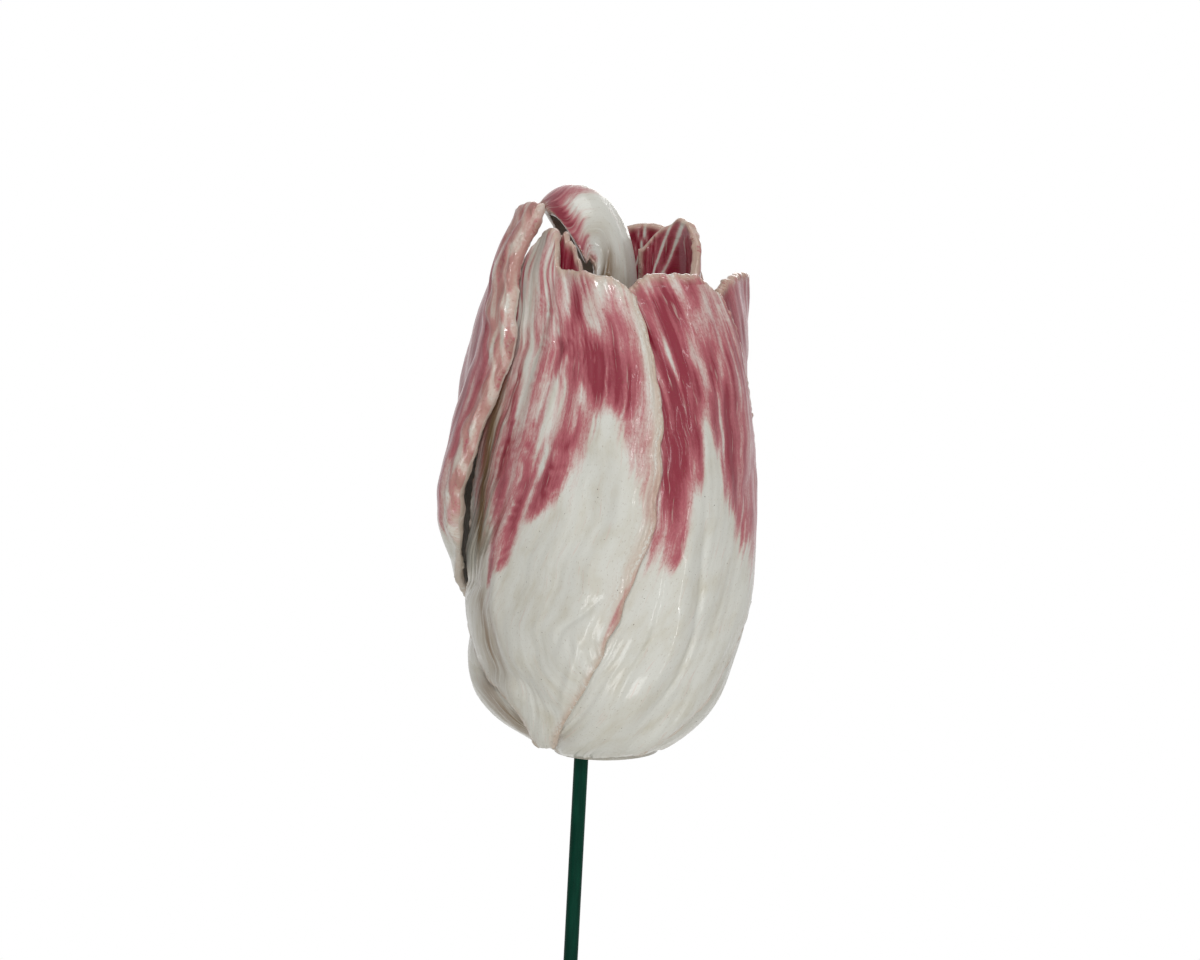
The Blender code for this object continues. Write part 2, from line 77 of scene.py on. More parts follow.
def through(stations: Stations, x: Grid) -> Grid:
    """A smooth curve through stations: cubic pieces whose slopes are the stations' own, level outside.

    Args:
        stations: (position, value) pairs in rising order of position.
        x: Where to read the curve.

    Returns:
        The curve's values at x.
    """
    places, values = np.array(stations, float).T
    slopes = np.gradient(values, places)
    slopes[[0, -1]] = 0.0
    x = np.clip(x, places[0], places[-1])
    i = np.clip(np.searchsorted(places, x) - 1, 0, len(places) - 2)
    span = places[i + 1] - places[i]
    t = (x - places[i]) / span
    return (
        values[i] * (1 + 2 * t) * (1 - t) ** 2
        + slopes[i] * span * t * (1 - t) ** 2
        + values[i + 1] * t * t * (3 - 2 * t)
        - slopes[i + 1] * span * t * t * (1 - t)
    )


def waves(across: Grid, along: Grid, seed: int, across_mm: float, along_mm: float, count: int = 12) -> Grid:
    """Smooth unevenness: a sum of sine waves with seeded lengths, directions and starts.

    Args:
        across: Distances across the piece, mm.
        along: Distances along the piece, mm.
        seed: Which unevenness it is.
        across_mm: Usual wave length across.
        along_mm: Usual wave length along.
        count: How many waves are added up.

    Returns:
        Values about 0, mostly between -1 and 1.
    """
    draw = np.random.default_rng(seed)
    sideways = draw.uniform(0.55, 1.6, count) / across_mm * draw.choice([-1.0, 1.0], count)
    upward = draw.uniform(0.3, 1.6, count) / along_mm
    start = draw.uniform(0.0, 2 * math.pi, count)
    phase = 2 * math.pi * (across[..., None] * sideways + along[..., None] * upward) + start
    return np.sin(phase).sum(axis=-1) / math.sqrt(count)


def bell(x: Grid) -> Grid:
    """1 at 0, falling off to both sides as exp(-x^2)."""
    return np.exp(-(x**2))


@dataclass(frozen=True)
class Ripple:
    """One kind of unevenness: its height, its usual wave lengths in mm, and its seed."""

    height: float
    across_mm: float
    along_mm: float
    seed: int

    def on(self, across: Grid, along: Grid, seed: int = 0) -> Grid:
        """Reads it on a piece.

        Args:
            across: Distances across the piece, mm.
            along: Distances along the piece, mm.
            seed: The piece's own seed, added to the ripple's.

        Returns:
            Values about 0, mostly within the height.
        """
        return self.height * waves(across, along, self.seed + seed, self.across_mm, self.along_mm)


# The clay's unevenness, mm
DENTS = Ripple(0.20, 17.0, 30.0, 0)
TOOL_RIDGES = (Ripple(0.05, 3.2, 45.0, 1), Ripple(0.025, 1.2, 14.0, 2))
CRUMBLED_RIM = Ripple(0.16, 2.4, 2.8, 3)
LIP_LUMPS = (Ripple(0.20, 5.0, 18.0, 153), Ripple(0.06, 1.8, 6.0, 154))
LIP_CRUMBS = Ripple(0.13, 1.4, 1.3, 155)
LUMP_TOP = Ripple(0.12, 30.0, 9.0, 71)
# How the sides of a petal and the width of the lip wander, degrees and mm
START_EDGE = Ripple(0.5, 9.0, 1.0, 11)
END_EDGE = Ripple(0.5, 9.0, 1.0, 12)
LIP_WIDTH = Ripple(0.5, 11.0, 1.0, 151)
# The brush's streaks
BROAD_STREAKS = Ripple(1.0, 4.5, 70.0, 20)
NARROW_STREAKS = Ripple(1.0, 1.5, 50.0, 21)
WASH_MOTTLE = Ripple(0.25, 7.0, 30.0, 22)
LIP_STREAKS = Ripple(0.7, 3.2, 9.0, 152)
# Shares of the broad and the narrow streaks in each thing that they shape
WASH_FINGERS_MM = (3.5, 3.0)
INNER_FINGERS_MM = (4.0, 4.0)
WASH_DENSITY = (0.15, 0.14)
STROKE_DENSITY = (0.2, 0.25)
INNER_DENSITY = (0.7, 1.0)


@dataclass(frozen=True)
class CupForm:
    """The round form that the outer petals lie on. Lengths in mm."""

    belly_radius: float = 27.3
    belly_height: float = 47.0
    base_fullness: float = 2.5
    base_raise: float = 1.0
    mouth_height: float = 96.0
    mouth_taper: float = 2.0
    taper_power: float = 1.5
    left_lean: float = 9.0
    lean_start: float = 73.0
    lean_top: float = 107.0
    lean_power: float = 1.5
    lean_side_power: float = 1.5
    slope_step: float = 0.032

    def radius(self, height: Grid) -> Grid:
        """A superellipse up to the belly, then a slow taper to the mouth."""
        below = np.clip((self.belly_height - height) / self.belly_height, 0.0, 1.0)
        base = self.belly_radius * (1 - below**self.base_fullness) ** (1 / self.base_fullness)
        above = np.maximum(height - self.belly_height, 0.0) / (self.mouth_height - self.belly_height)
        return base - self.mouth_taper * above**self.taper_power

    def lean(self, height: Grid, azimuth: Grid) -> Grid:
        """How far the form has moved in: fully on the left, not at all on the right."""
        rise = np.maximum(height - self.lean_start, 0.0) / (self.lean_top - self.lean_start)
        return self.left_lean * rise**self.lean_power * (0.5 - 0.5 * np.sin(azimuth)) ** self.lean_side_power

    def point(self, azimuth: Grid, height: Grid, offset: Grid) -> Grid:
        """Points on the form, moved along its normal.

        Args:
            azimuth: Degrees round the flower.
            height: Height on the form, mm.
            offset: Distance outwards along the form's normal, mm.

        Returns:
            (..., 3) points in the flower's frame, mm.
        """
        low, high = np.maximum(height - self.slope_step, 0.0), height + self.slope_step
        slope = (self.radius(high) - self.radius(low)) / (high - low)
        outward = 1 / np.hypot(1, slope)
        angle = np.radians(azimuth)
        radius = self.radius(height) - self.lean(height, angle) + offset * outward
        pushed_up = self.base_raise * np.clip((self.belly_height - height) / self.belly_height, 0.0, 1.0) ** 2
        z = height + pushed_up - offset * slope * outward
        return np.stack([radius * np.sin(angle), -radius * np.cos(angle), z], axis=-1)


@dataclass(frozen=True)
class HeadPose:
    """Where the flower's frame stands on the rod."""

    rod_length: float = 270.0
    rod_offset: float = 4.8
    lean_degrees: float = 3.0

    def matrix(self) -> Matrix:
        """The flower's frame in the row frame, in millimetres."""
        turn = Matrix.Rotation(-math.radians(self.lean_degrees), 4, "Y")
        return Matrix.Translation((self.rod_offset, 0.0, self.rod_length)) @ turn

    def place(self, points: Grid) -> Grid:
        """Points of the flower's frame, in mm, put into the row frame, in metres."""
        matrix = np.array(self.matrix())
        return (points @ matrix[:3, :3].T + matrix[:3, 3]) * MM


@dataclass(frozen=True)
class Layers:
    """Thicknesses of the clay and the gaps between petals, mm.

    Where a seam's order changes sign, petals don't overlap below order_bare, stand further apart
    below order_widened, and are lifted fully above order_lifted.
    """

    thickness: float = 1.8
    seat_gap: float = 0.4
    edge_gap: float = 0.5
    crossing_gap: float = 1.4
    foot_gap: float = 0.6
    core_gap: float = 0.5
    overlap: float = 14.0
    overlap_start: float = 4.0
    overlap_full: float = 18.0
    lift_ramp: float = 16.0
    lift_start: float = 1.8
    lift_full: float = 4.0
    order_bare: float = 0.4
    order_widened: float = 0.5
    order_lifted: float = 0.35

    @property
    def layer(self) -> float:
        """Distance from one petal's middle to the next one's."""
        return self.thickness + self.seat_gap

    @property
    def core_offset(self) -> float:
        """The lump's side, under the tucked petals."""
        return -(self.layer / 2 + self.thickness / 2 + self.core_gap)

    @property
    def inner_offset(self) -> float:
        """An inner petal's middle, one layer inside the tucked petals."""
        return -1.5 * self.layer


FORM = CupForm()
POSE = HeadPose()
LAYERS = Layers()
CORE_HEIGHT = 19.0
PETAL_BASE = 1.6
LEAST_ROUNDING = 0.3
# How far inwards the material's marks are laid, mm, so that no two faces show the same noise
FACE_DEPTH = 40.0
PETAL_DEPTH = 7.0
LUMP_DEPTH = 90.0


@dataclass(frozen=True)
class Seam:
    """The line where two outer petals meet, and which of them lies on top.

    stations are (share of the mouth's height, degrees), and order is 1 where the petal before
    the seam lies on top and -1 where the one after it does.
    """

    stations: Stations
    order: Stations = ((0.0, 1.0), (1.0, 1.0))

    def edges(self, height: Grid) -> tuple[Grid, Grid, Grid, Grid]:
        """The petals' two edges in degrees, and how far each is lifted, 0 to 1.

        Args:
            height: Heights on the form, mm.

        Returns:
            Edge of the petal before, edge of the petal after, lift before, lift after.
        """
        share = height / FORM.mouth_height
        middle, side = through(self.stations, share), through(self.order, share)
        opened = smoothstep((height - LAYERS.lift_start) / (LAYERS.lift_full - LAYERS.lift_start))
        reach = (height - LAYERS.overlap_start) / (LAYERS.overlap_full - LAYERS.overlap_start)
        covered = (np.abs(side) - LAYERS.order_bare) / (1 - LAYERS.order_bare)
        over = LAYERS.overlap * np.clip(reach, 0.0, 1.0) * np.sign(side) * np.clip(covered, 0.0, 1.0)
        per_mm = np.degrees(1 / FORM.radius(height))
        crack = LAYERS.edge_gap * per_mm / 2
        changing = LAYERS.crossing_gap * per_mm * (1 - smoothstep(np.abs(side) / LAYERS.order_widened))
        return (
            middle - crack - changing + np.maximum(-over, 0.0),
            middle + crack - np.maximum(over, 0.0),
            opened * smoothstep(side / LAYERS.order_lifted),
            opened * smoothstep(-side / LAYERS.order_lifted),
        )


FRONT_RIGHT = Seam((
    (0.02, -57), (0.05, -41), (0.083, -29), (0.155, -13), (0.21, -6), (0.29, 2),
    (0.40, 10.5), (0.51, 19), (0.63, 22), (0.72, 23), (0.81, 21), (0.90, 17), (0.96, 13.5), (1.0, 11),
))
RIGHT_FAR = Seam((
    (0.02, 30), (0.10, 48), (0.26, 72), (0.47, 90), (0.63, 88), (0.78, 76), (0.89, 63), (1.0, 52),
))
FAR_BACK = Seam(((0.02, 110), (0.20, 128), (0.47, 138), (0.73, 130), (0.94, 112), (1.0, 105)))
BACK_LEFT = Seam(((0.02, 190), (0.20, 212), (0.47, 222), (0.73, 222), (0.94, 215), (1.1, 210)))
LEFT_FRONT = Seam(
    (
        (0.02, 303), (0.05, 305), (0.09, 311), (0.135, 309), (0.165, 302), (0.19, 292), (0.22, 278),
        (0.26, 269), (0.31, 267), (0.35, 271), (0.39, 280), (0.46, 293), (0.57, 301), (0.68, 308),
        (0.77, 315), (0.85, 320), (0.93, 317), (1.02, 312.5), (1.06, 317), (1.10, 322), (1.14, 324),
    ),
    ((0.14, -1.0), (0.18, -0.35), (0.22, 0.0), (0.32, 0.0), (0.37, 0.35), (0.44, 1.0)),
)


@dataclass
class Sheet:
    """A petal's middle surface on a grid whose rows run up and whose columns run round.

    side and up are the marks that trails are placed by: degrees and height in mm on an outer
    petal, hundredths of the width and mm along the clay on an inner one.
    """

    middle: Grid  # (rows, columns, 3), mm in the flower's frame
    thickness: Grid | float  # mm
    side: Grid | None = None
    up: Grid | None = None

    def __post_init__(self) -> None:
        """Measures the distances along rows and columns, and from the rim."""
        run = np.linalg.norm(np.diff(self.middle, axis=1), axis=-1)
        rise = np.linalg.norm(np.diff(self.middle, axis=0), axis=-1)
        self.from_left = np.pad(np.cumsum(run, axis=1), ((0, 0), (1, 0)))
        self.from_right = self.from_left[:, -1:] - self.from_left
        self.from_base = np.pad(np.cumsum(rise, axis=0), ((1, 0), (0, 0)))
        self.from_top = self.from_base[-1:] - self.from_base
        self.across = self.from_left - self.from_left[:, -1:] / 2
        if self.side is None:
            self.side, self.up = 100 * self.from_left / self.from_left[:, -1:], self.from_base
        spread = self.side[:, -1:] - self.side[:, :1]
        self.mm_per_mark = self.from_left[:, -1:] / spread

    def rim(self) -> Grid:
        """Distance from the nearest free edge, mm."""
        return np.minimum(np.minimum(self.from_left, self.from_right), self.from_top)

    def normal(self) -> Grid:
        """Unit normals: along the cross product of the way round and the way up."""
        way_round = np.gradient(self.middle, axis=1)
        way_up = np.gradient(self.middle, axis=0)
        out = np.cross(way_round, way_up)
        return out / np.maximum(np.linalg.norm(out, axis=-1, keepdims=True), 1e-12)

    def rounded(self) -> Grid:
        """A half-round edge: the root of 1 - (1 - d/r)^2 for each edge's distance d, multiplied."""
        radius = np.maximum(self.thickness / 2, LEAST_ROUNDING)
        round_off = np.ones_like(self.from_left)
        for distance in (self.from_left, self.from_right, self.from_top, self.from_base):
            near = np.clip(distance / radius, 0.0, 1.0)
            round_off = round_off * np.sqrt(np.maximum(1 - (1 - near) ** 2, 0.0))
        return round_off


@dataclass(frozen=True)
class Trail:
    """A brush stroke or a crease that runs up a petal.

    marks are (up, side, half width in mm, amount) in rising order of up; the amount falls off
    to both sides as exp(-(d / half width)^2) of the distance d in mm.
    """

    marks: tuple[tuple[float, float, float, float], ...]

    def on(self, sheet: Sheet) -> Grid:
        """Reads the trail on a petal.

        Args:
            sheet: The petal's grid.

        Returns:
            The amount at each point.
        """
        up, side, width, amount = np.array(self.marks, float).T
        middle = np.interp(sheet.up, up, side)
        away = (sheet.side - middle) * sheet.mm_per_mark / np.interp(sheet.up, up, width)
        inside = (sheet.up >= up[0]) & (sheet.up <= up[-1])
        return np.interp(sheet.up, up, amount) * bell(away) * inside


def trails(*marks: tuple[tuple[float, float, float, float], ...]) -> tuple[Trail, ...]:
    """One trail from each row of marks."""
    return tuple(Trail(row) for row in marks)


def shell_faces(rows: int, columns: int) -> Grid:
    """Quads of a closed shell of two grids that share their border.

    Args:
        rows: Rows of each grid.
        columns: Columns of each grid.

    Returns:
        The quads. The inner grid's points without its border are numbered after the outer grid's.
    """
    outer = np.arange(rows * columns).reshape(rows, columns)
    inner = outer.copy()
    own = (rows - 2, columns - 2)
    inner[1:-1, 1:-1] = rows * columns + np.arange(own[0] * own[1]).reshape(own)

    def quads(index: Grid) -> Grid:
        """Four corners of every cell, facing along the way round times the way up."""
        corners = [index[:-1, :-1], index[:-1, 1:], index[1:, 1:], index[1:, :-1]]
        return np.stack(corners, axis=-1).reshape(-1, 4)

    return np.concatenate([quads(outer), quads(inner)[:, ::-1]])


def add_object(name: str, data: bpy.types.ID) -> Thing:
    """Makes an object of a mesh, a lamp or a camera and links it to the scene."""
    made = bpy.data.objects.new(name, data)
    bpy.context.scene.collection.objects.link(made)
    return made


def make_piece(name: str, points: Grid, faces: list | Grid, attributes: dict[str, Grid], finish: Finish,
               body: str, stands_for: str) -> Thing:
    """Args:
        name: The piece's name.
        points: (n, 3) points in metres in the row frame.
        faces: Corner indices of each face.
        attributes: Values per point: (n,) numbers or (n, 3) vectors.
        finish: The material.
        body: The body it rides on.
        stands_for: The CAD node it replaces.

    Returns:
        The new object.
    """
    mesh = bpy.data.meshes.new(name)
    mesh.from_pydata(points.tolist(), [], faces.tolist() if isinstance(faces, np.ndarray) else faces)
    for key, values in attributes.items():
        kind, channel = ("FLOAT_VECTOR", "vector") if values.ndim == 2 else ("FLOAT", "value")
        layer = mesh.attributes.new(key, kind, "POINT")
        layer.data.foreach_set(channel, values.astype(np.float32).ravel())
    mesh.shade_smooth()
    mesh.materials.append(finish)
    piece = add_object(name, mesh)
    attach(piece, body)
    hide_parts(stands_for)
    log.info("%s: %d points", name, len(points))
    return piece


def linear(hex_colour: str) -> tuple[float, float, float, float]:
    """A colour written as sRGB hex, in linear light.

    Args:
        hex_colour: Six hex digits after a hash.

    Returns:
        Red, green, blue and an alpha of 1.
    """
    parts = [int(hex_colour[i:i + 2], 16) / 255 for i in (1, 3, 5)]
    return (*(p / 12.92 if p <= 0.04045 else ((p + 0.055) / 1.055) ** 2.4 for p in parts), 1.0)


def add_node(tree: Tree, kind: str, inputs: dict | None = None, **settings) -> Node:
    """Adds a node, sets its properties, and gives its inputs values or links.

    Args:
        tree: The material's node tree.
        kind: The node's type.
        inputs: Input name or number to a value or to another node's output.
        **settings: The node's own properties.

    Returns:
        The new node.
    """
    node = tree.nodes.new(kind)
    for key, value in settings.items():
        setattr(node, key, value)
    for key, value in (inputs or {}).items():
        if isinstance(value, Socket):
            tree.links.new(value, node.inputs[key])
        else:
            node.inputs[key].default_value = value
    return node


def set_ramp(node: Node, stops: tuple[tuple[float, str], ...]) -> None:
    """Sets a colour ramp's stops from (position, hex colour) pairs."""
    ramp = node.color_ramp
    while len(ramp.elements) < len(stops):
        ramp.elements.new(0.5)
    for element, (position, colour) in zip(ramp.elements, stops):
        element.position = position
        element.color = linear(colour)


def new_material(name: str) -> tuple[Finish, Tree, Node]:
    """A material with an output and a Principled shader.

    Args:
        name: The finish's name.

    Returns:
        The material, its tree and its shader.
    """
    made = bpy.data.materials.new(name)
    made.use_nodes = True
    tree = made.node_tree
    tree.nodes.clear()
    shader = add_node(tree, "ShaderNodeBsdfPrincipled")
    add_node(tree, "ShaderNodeOutputMaterial", {"Surface": shader.outputs["BSDF"]})
    return made, tree, shader


def laid(tree: Tree, key: str, output: str) -> Socket:
    """Reads what was laid on a piece's points as a vector or a number."""
    return add_node(tree, "ShaderNodeAttribute", attribute_name=key).outputs[output]


def laid_noise(tree: Tree, lay: Socket, scale: tuple[float, float, float],
               settings: dict[str, float]) -> Socket:
    """Noise on the marks laid on a piece.

    Args:
        tree: The material's node tree.
        lay: The piece's lay attribute, mm.
        scale: Waves per mm across, along and inwards.
        settings: The noise's other inputs.

    Returns:
        The noise, 0 to 1.
    """
    scaled = add_node(tree, "ShaderNodeMapping", {"Vector": lay, "Scale": scale}).outputs["Vector"]
    return add_node(tree, "ShaderNodeTexNoise", {"Vector": scaled, "Scale": 1.0, **settings}).outputs["Fac"]


def add_bump(tree: Tree, shader: Node, height: Socket,
             strength: float, distance_mm: float) -> None:
    """Gives a shader fine relief from a height between 0 and 1."""
    bump = add_node(tree, "ShaderNodeBump", {
        "Strength": strength, "Distance": distance_mm * MM, "Height": height,
    })
    tree.links.new(bump.outputs["Normal"], shader.inputs["Normal"])


@dataclass(frozen=True)
class BrushedGlaze:
    """Earthenware under a glossy clear glaze, brushed with rose and crimson over cream.

    The brush leaves lengthwise streaks, the glaze breaks to a tan edge where it runs thin, and
    fine iron specks show through. It gives the eye soft broad highlights with small sharp glints.
    broken_by says how far streaks, fine streaks, blotches and grain break up the colour. Pairs
    ending in _range are where a noise or a density starts and where it has its full effect.
    """

    name: str = "rose_brushed_earthenware_glaze"
    cream: str = "#DBDDD8"
    warm_cream: str = "#CBC8BA"
    pink: str = "#CDA19F"
    rose: str = "#AE5B66"
    crimson: str = "#871831"
    rim_tan: str = "#C4AE9D"
    pale_crest: str = "#D6C3BB"
    # Brown for stains and pits, also used as painted shade in gaps and deep in the cup
    stain_and_shade_brown: str = "#80684A"
    speck_brown: str = "#4A3A30"
    streak_mm: tuple[float, float] = (1.6, 17.0)
    fine_streak_mm: tuple[float, float] = (0.5, 7.0)
    blotch_mm: tuple[float, float] = (4.5, 8.0)
    speck_mm: float = 2.3
    grain_mm: float = 0.32
    roughness: float = 0.36
    specular: float = 0.25
    coat: float = 0.45
    coat_roughness: float = 0.08
    relief_mm: float = 0.05
    grain_stretch: float = 2.2
    warm_range: tuple[float, float] = (0.5, 1.0)
    warm_streaks: float = 0.25
    broken_by: tuple[float, ...] = (0.42, 0.3, 0.55, 0.45)
    colour_range: tuple[float, float] = (0.0, 0.3)
    cover_range: tuple[float, float] = (0.0, 0.5)
    tint_stops: tuple[float, float, float] = (0.2, 0.55, 0.88)
    crest_fine_range: tuple[float, float] = (0.57, 0.68)
    crest_streak_range: tuple[float, float] = (0.44, 0.56)
    crest_strength: float = 0.42
    rim_range: tuple[float, float] = (0.72, 1.0)
    rim_strength: float = 0.9
    stain_and_shade_range: tuple[float, float] = (0.6, 1.05)
    pit_range: tuple[float, float] = (0.56, 0.72)
    pit_strength: float = 0.4
    speck_radius: float = 0.045
    speck_strength: float = 0.75
    roughness_spread: float = 0.16
    grain_ridges: float = 0.6
    fine_ridges: float = 0.4
    ridge_strength: float = 0.8

    def build(self) -> Finish:
        """Makes the material from the piece's lay, rose, rim and brown-glaze attributes; the brown one
        carries stains and painted shade.
        """
        made, tree, shader = new_material(self.name)
        lay = laid(tree, "lay", "Vector")
        rose, rim, stain_and_shade = (laid(tree, key, "Fac") for key in ("rose", "rim", "stain_and_shade"))

        def noise(size: tuple[float, float], detail: float = 3.0, roughness: float = 0.55) -> Socket:
            """Noise stretched to a size across and along the petal, mm."""
            scale = (1 / size[0], 1 / size[1], 1.0)
            return laid_noise(tree, lay, scale, {"Detail": detail, "Roughness": roughness})

        def blend(amount: Value, low: Value, high: Value) -> Socket:
            """Mixes two colours by an amount."""
            return add_node(tree, "ShaderNodeMix", {0: amount, 6: low, 7: high}, data_type="RGBA").outputs[2]

        def compute(operation: str, *values: Value) -> Socket:
            """One step of arithmetic."""
            return add_node(tree, "ShaderNodeMath", dict(enumerate(values)), operation=operation).outputs[0]

        def ease(value: Value, over: tuple[float, float]) -> Socket:
            """Eases from 0 to 1 over a range."""
            return add_node(tree, "ShaderNodeMapRange", {
                "Value": value, "From Min": over[0], "From Max": over[1],
            }, interpolation_type="SMOOTHSTEP").outputs["Result"]

        def under(amount: Value, colour: str) -> Socket:
            """The paint so far, with a colour over it by an amount."""
            return blend(amount, painted, linear(colour))

        sizes = (self.streak_mm, self.fine_streak_mm, self.blotch_mm)
        streak, fine, blotch = (noise(size) for size in sizes)
        grain = noise((self.grain_mm, self.grain_stretch * self.grain_mm), 4.0, 0.7)
        # Cream ground, warmer where the glaze is thin
        warmth = compute("ADD", blotch, compute("MULTIPLY", streak, self.warm_streaks))
        ground = blend(ease(warmth, self.warm_range), linear(self.cream), linear(self.warm_cream))
        # Brushed colour: its density is broken up by the brush's streaks
        broken = rose
        for unevenness, share in zip((streak, fine, blotch, grain), self.broken_by):
            broken = compute("MULTIPLY_ADD", compute("SUBTRACT", unevenness, 0.5), share, broken)
        density = compute("MULTIPLY", broken, ease(rose, self.colour_range))
        tint = add_node(tree, "ShaderNodeValToRGB", {"Fac": density})
        set_ramp(tint, tuple(zip(self.tint_stops, (self.pink, self.rose, self.crimson))))
        painted = blend(ease(density, self.cover_range), ground, tint.outputs["Color"])
        # The colour thins to pale lines on the crests that the brush left
        bare = compute("MULTIPLY", ease(fine, self.crest_fine_range), ease(streak, self.crest_streak_range))
        painted = under(compute("MULTIPLY", bare, self.crest_strength), self.pale_crest)
        # Rims, and brown stains together with painted shade in gaps and deep in the cup
        thin = compute("MULTIPLY", rim, ease(compute("ADD", grain, streak), self.rim_range))
        painted = under(compute("MULTIPLY", thin, self.rim_strength), self.rim_tan)
        stained_and_shaded = compute("MULTIPLY", stain_and_shade, ease(compute("ADD", streak, fine), self.stain_and_shade_range))
        painted = under(stained_and_shaded, self.stain_and_shade_brown)
        # Fine pits in the glaze show as grey-brown mottling
        pits = compute("MULTIPLY", ease(grain, self.pit_range), self.pit_strength)
        painted = under(pits, self.stain_and_shade_brown)
        cells = add_node(tree, "ShaderNodeTexVoronoi", {"Vector": lay, "Scale": 1 / self.speck_mm})
        spot = compute("LESS_THAN", cells.outputs["Distance"], self.speck_radius)
        painted = under(compute("MULTIPLY", spot, self.speck_strength), self.speck_brown)
        tree.links.new(painted, shader.inputs["Base Color"])
        shader.inputs["Specular IOR Level"].default_value = self.specular
        shader.inputs["Coat Weight"].default_value = self.coat
        shader.inputs["Coat Roughness"].default_value = self.coat_roughness
        smoothest = self.roughness - self.roughness_spread / 2
        uneven = compute("MULTIPLY_ADD", blotch, self.roughness_spread, smoothest)
        tree.links.new(uneven, shader.inputs["Roughness"])
        ridges = compute("MULTIPLY_ADD", fine, self.fine_ridges, streak)
        ridges = compute("MULTIPLY_ADD", grain, self.grain_ridges, ridges)
        add_bump(tree, shader, ridges, self.ridge_strength, self.relief_mm)
        return made


@dataclass(frozen=True)
class GrainedFinish:
    """A plain finish whose shade, roughness and fine relief follow noise laid along the piece.

    shades are a ramp's (position, hex colour) pairs, a grain is (across, along, inwards) in waves
    per mm, bump is (strength, mm), and roughness is where the shade's noise is low and high.
    """

    name: str
    shades: tuple[tuple[float, str], ...]
    shade_grain: tuple[float, float, float]
    bump_grain: tuple[float, float, float]
    bump: tuple[float, float]
    roughness: tuple[float, float]
    detail: float = 3.0
    metallic: float = 0.0
    specular: float = 0.5

    def build(self) -> Finish:
        """Makes the material from the piece's lay attribute."""
        made, tree, shader = new_material(self.name)
        lay, detail = laid(tree, "lay", "Vector"), {"Detail": self.detail}
        grains = (self.shade_grain, self.bump_grain)
        shade, height = (laid_noise(tree, lay, grain, detail) for grain in grains)
        colour = add_node(tree, "ShaderNodeValToRGB", {"Fac": shade})
        set_ramp(colour, self.shades)
        tree.links.new(colour.outputs["Color"], shader.inputs["Base Color"])
        rough = add_node(tree, "ShaderNodeMapRange", {
            "Value": shade, "From Min": 0.3, "From Max": 0.7,
            "To Min": self.roughness[0], "To Max": self.roughness[1],
        })
        tree.links.new(rough.outputs["Result"], shader.inputs["Roughness"])
        shader.inputs["Metallic"].default_value = self.metallic
        shader.inputs["Specular IOR Level"].default_value = self.specular
        add_bump(tree, shader, height, *self.bump)
        return made


# Unglazed earthenware, left rough: matt, with pale grog grains
FIRED_CLAY = GrainedFinish(
    "unglazed_fired_clay", shades=((0.35, "#A08B6B"), (0.6, "#BDAA8B")),
    shade_grain=(2.0, 2.0, 2.0), bump_grain=(2.0, 2.0, 2.0), bump=(0.6, 0.1), roughness=(0.85, 0.85),
)
# Soft PVC extruded over the wire: dark green, satin, with faint die lines along it
EXTRUDED_COATING = GrainedFinish(
    "dark_green_extruded_pvc", shades=((0.4, "#013024"), (0.75, "#0B4031")),
    shade_grain=(1 / 1.2, 1 / 9.0, 1.0), bump_grain=(1 / 0.35, 0.02, 1.0), bump=(0.35, 0.03),
    roughness=(0.40, 0.56), specular=0.06,
)
# Bright drawn steel: metallic, with fine lines along it from the die
DRAWN_STEEL = GrainedFinish(
    "drawn_steel_wire", shades=((0.35, "#8F8D87"), (0.65, "#BEBDB8")),
    shade_grain=(5.0, 0.05, 1.0), bump_grain=(5.0, 0.05, 1.0), bump=(0.3, 0.02),
    roughness=(0.34, 0.34), detail=2.0, metallic=1.0,
)


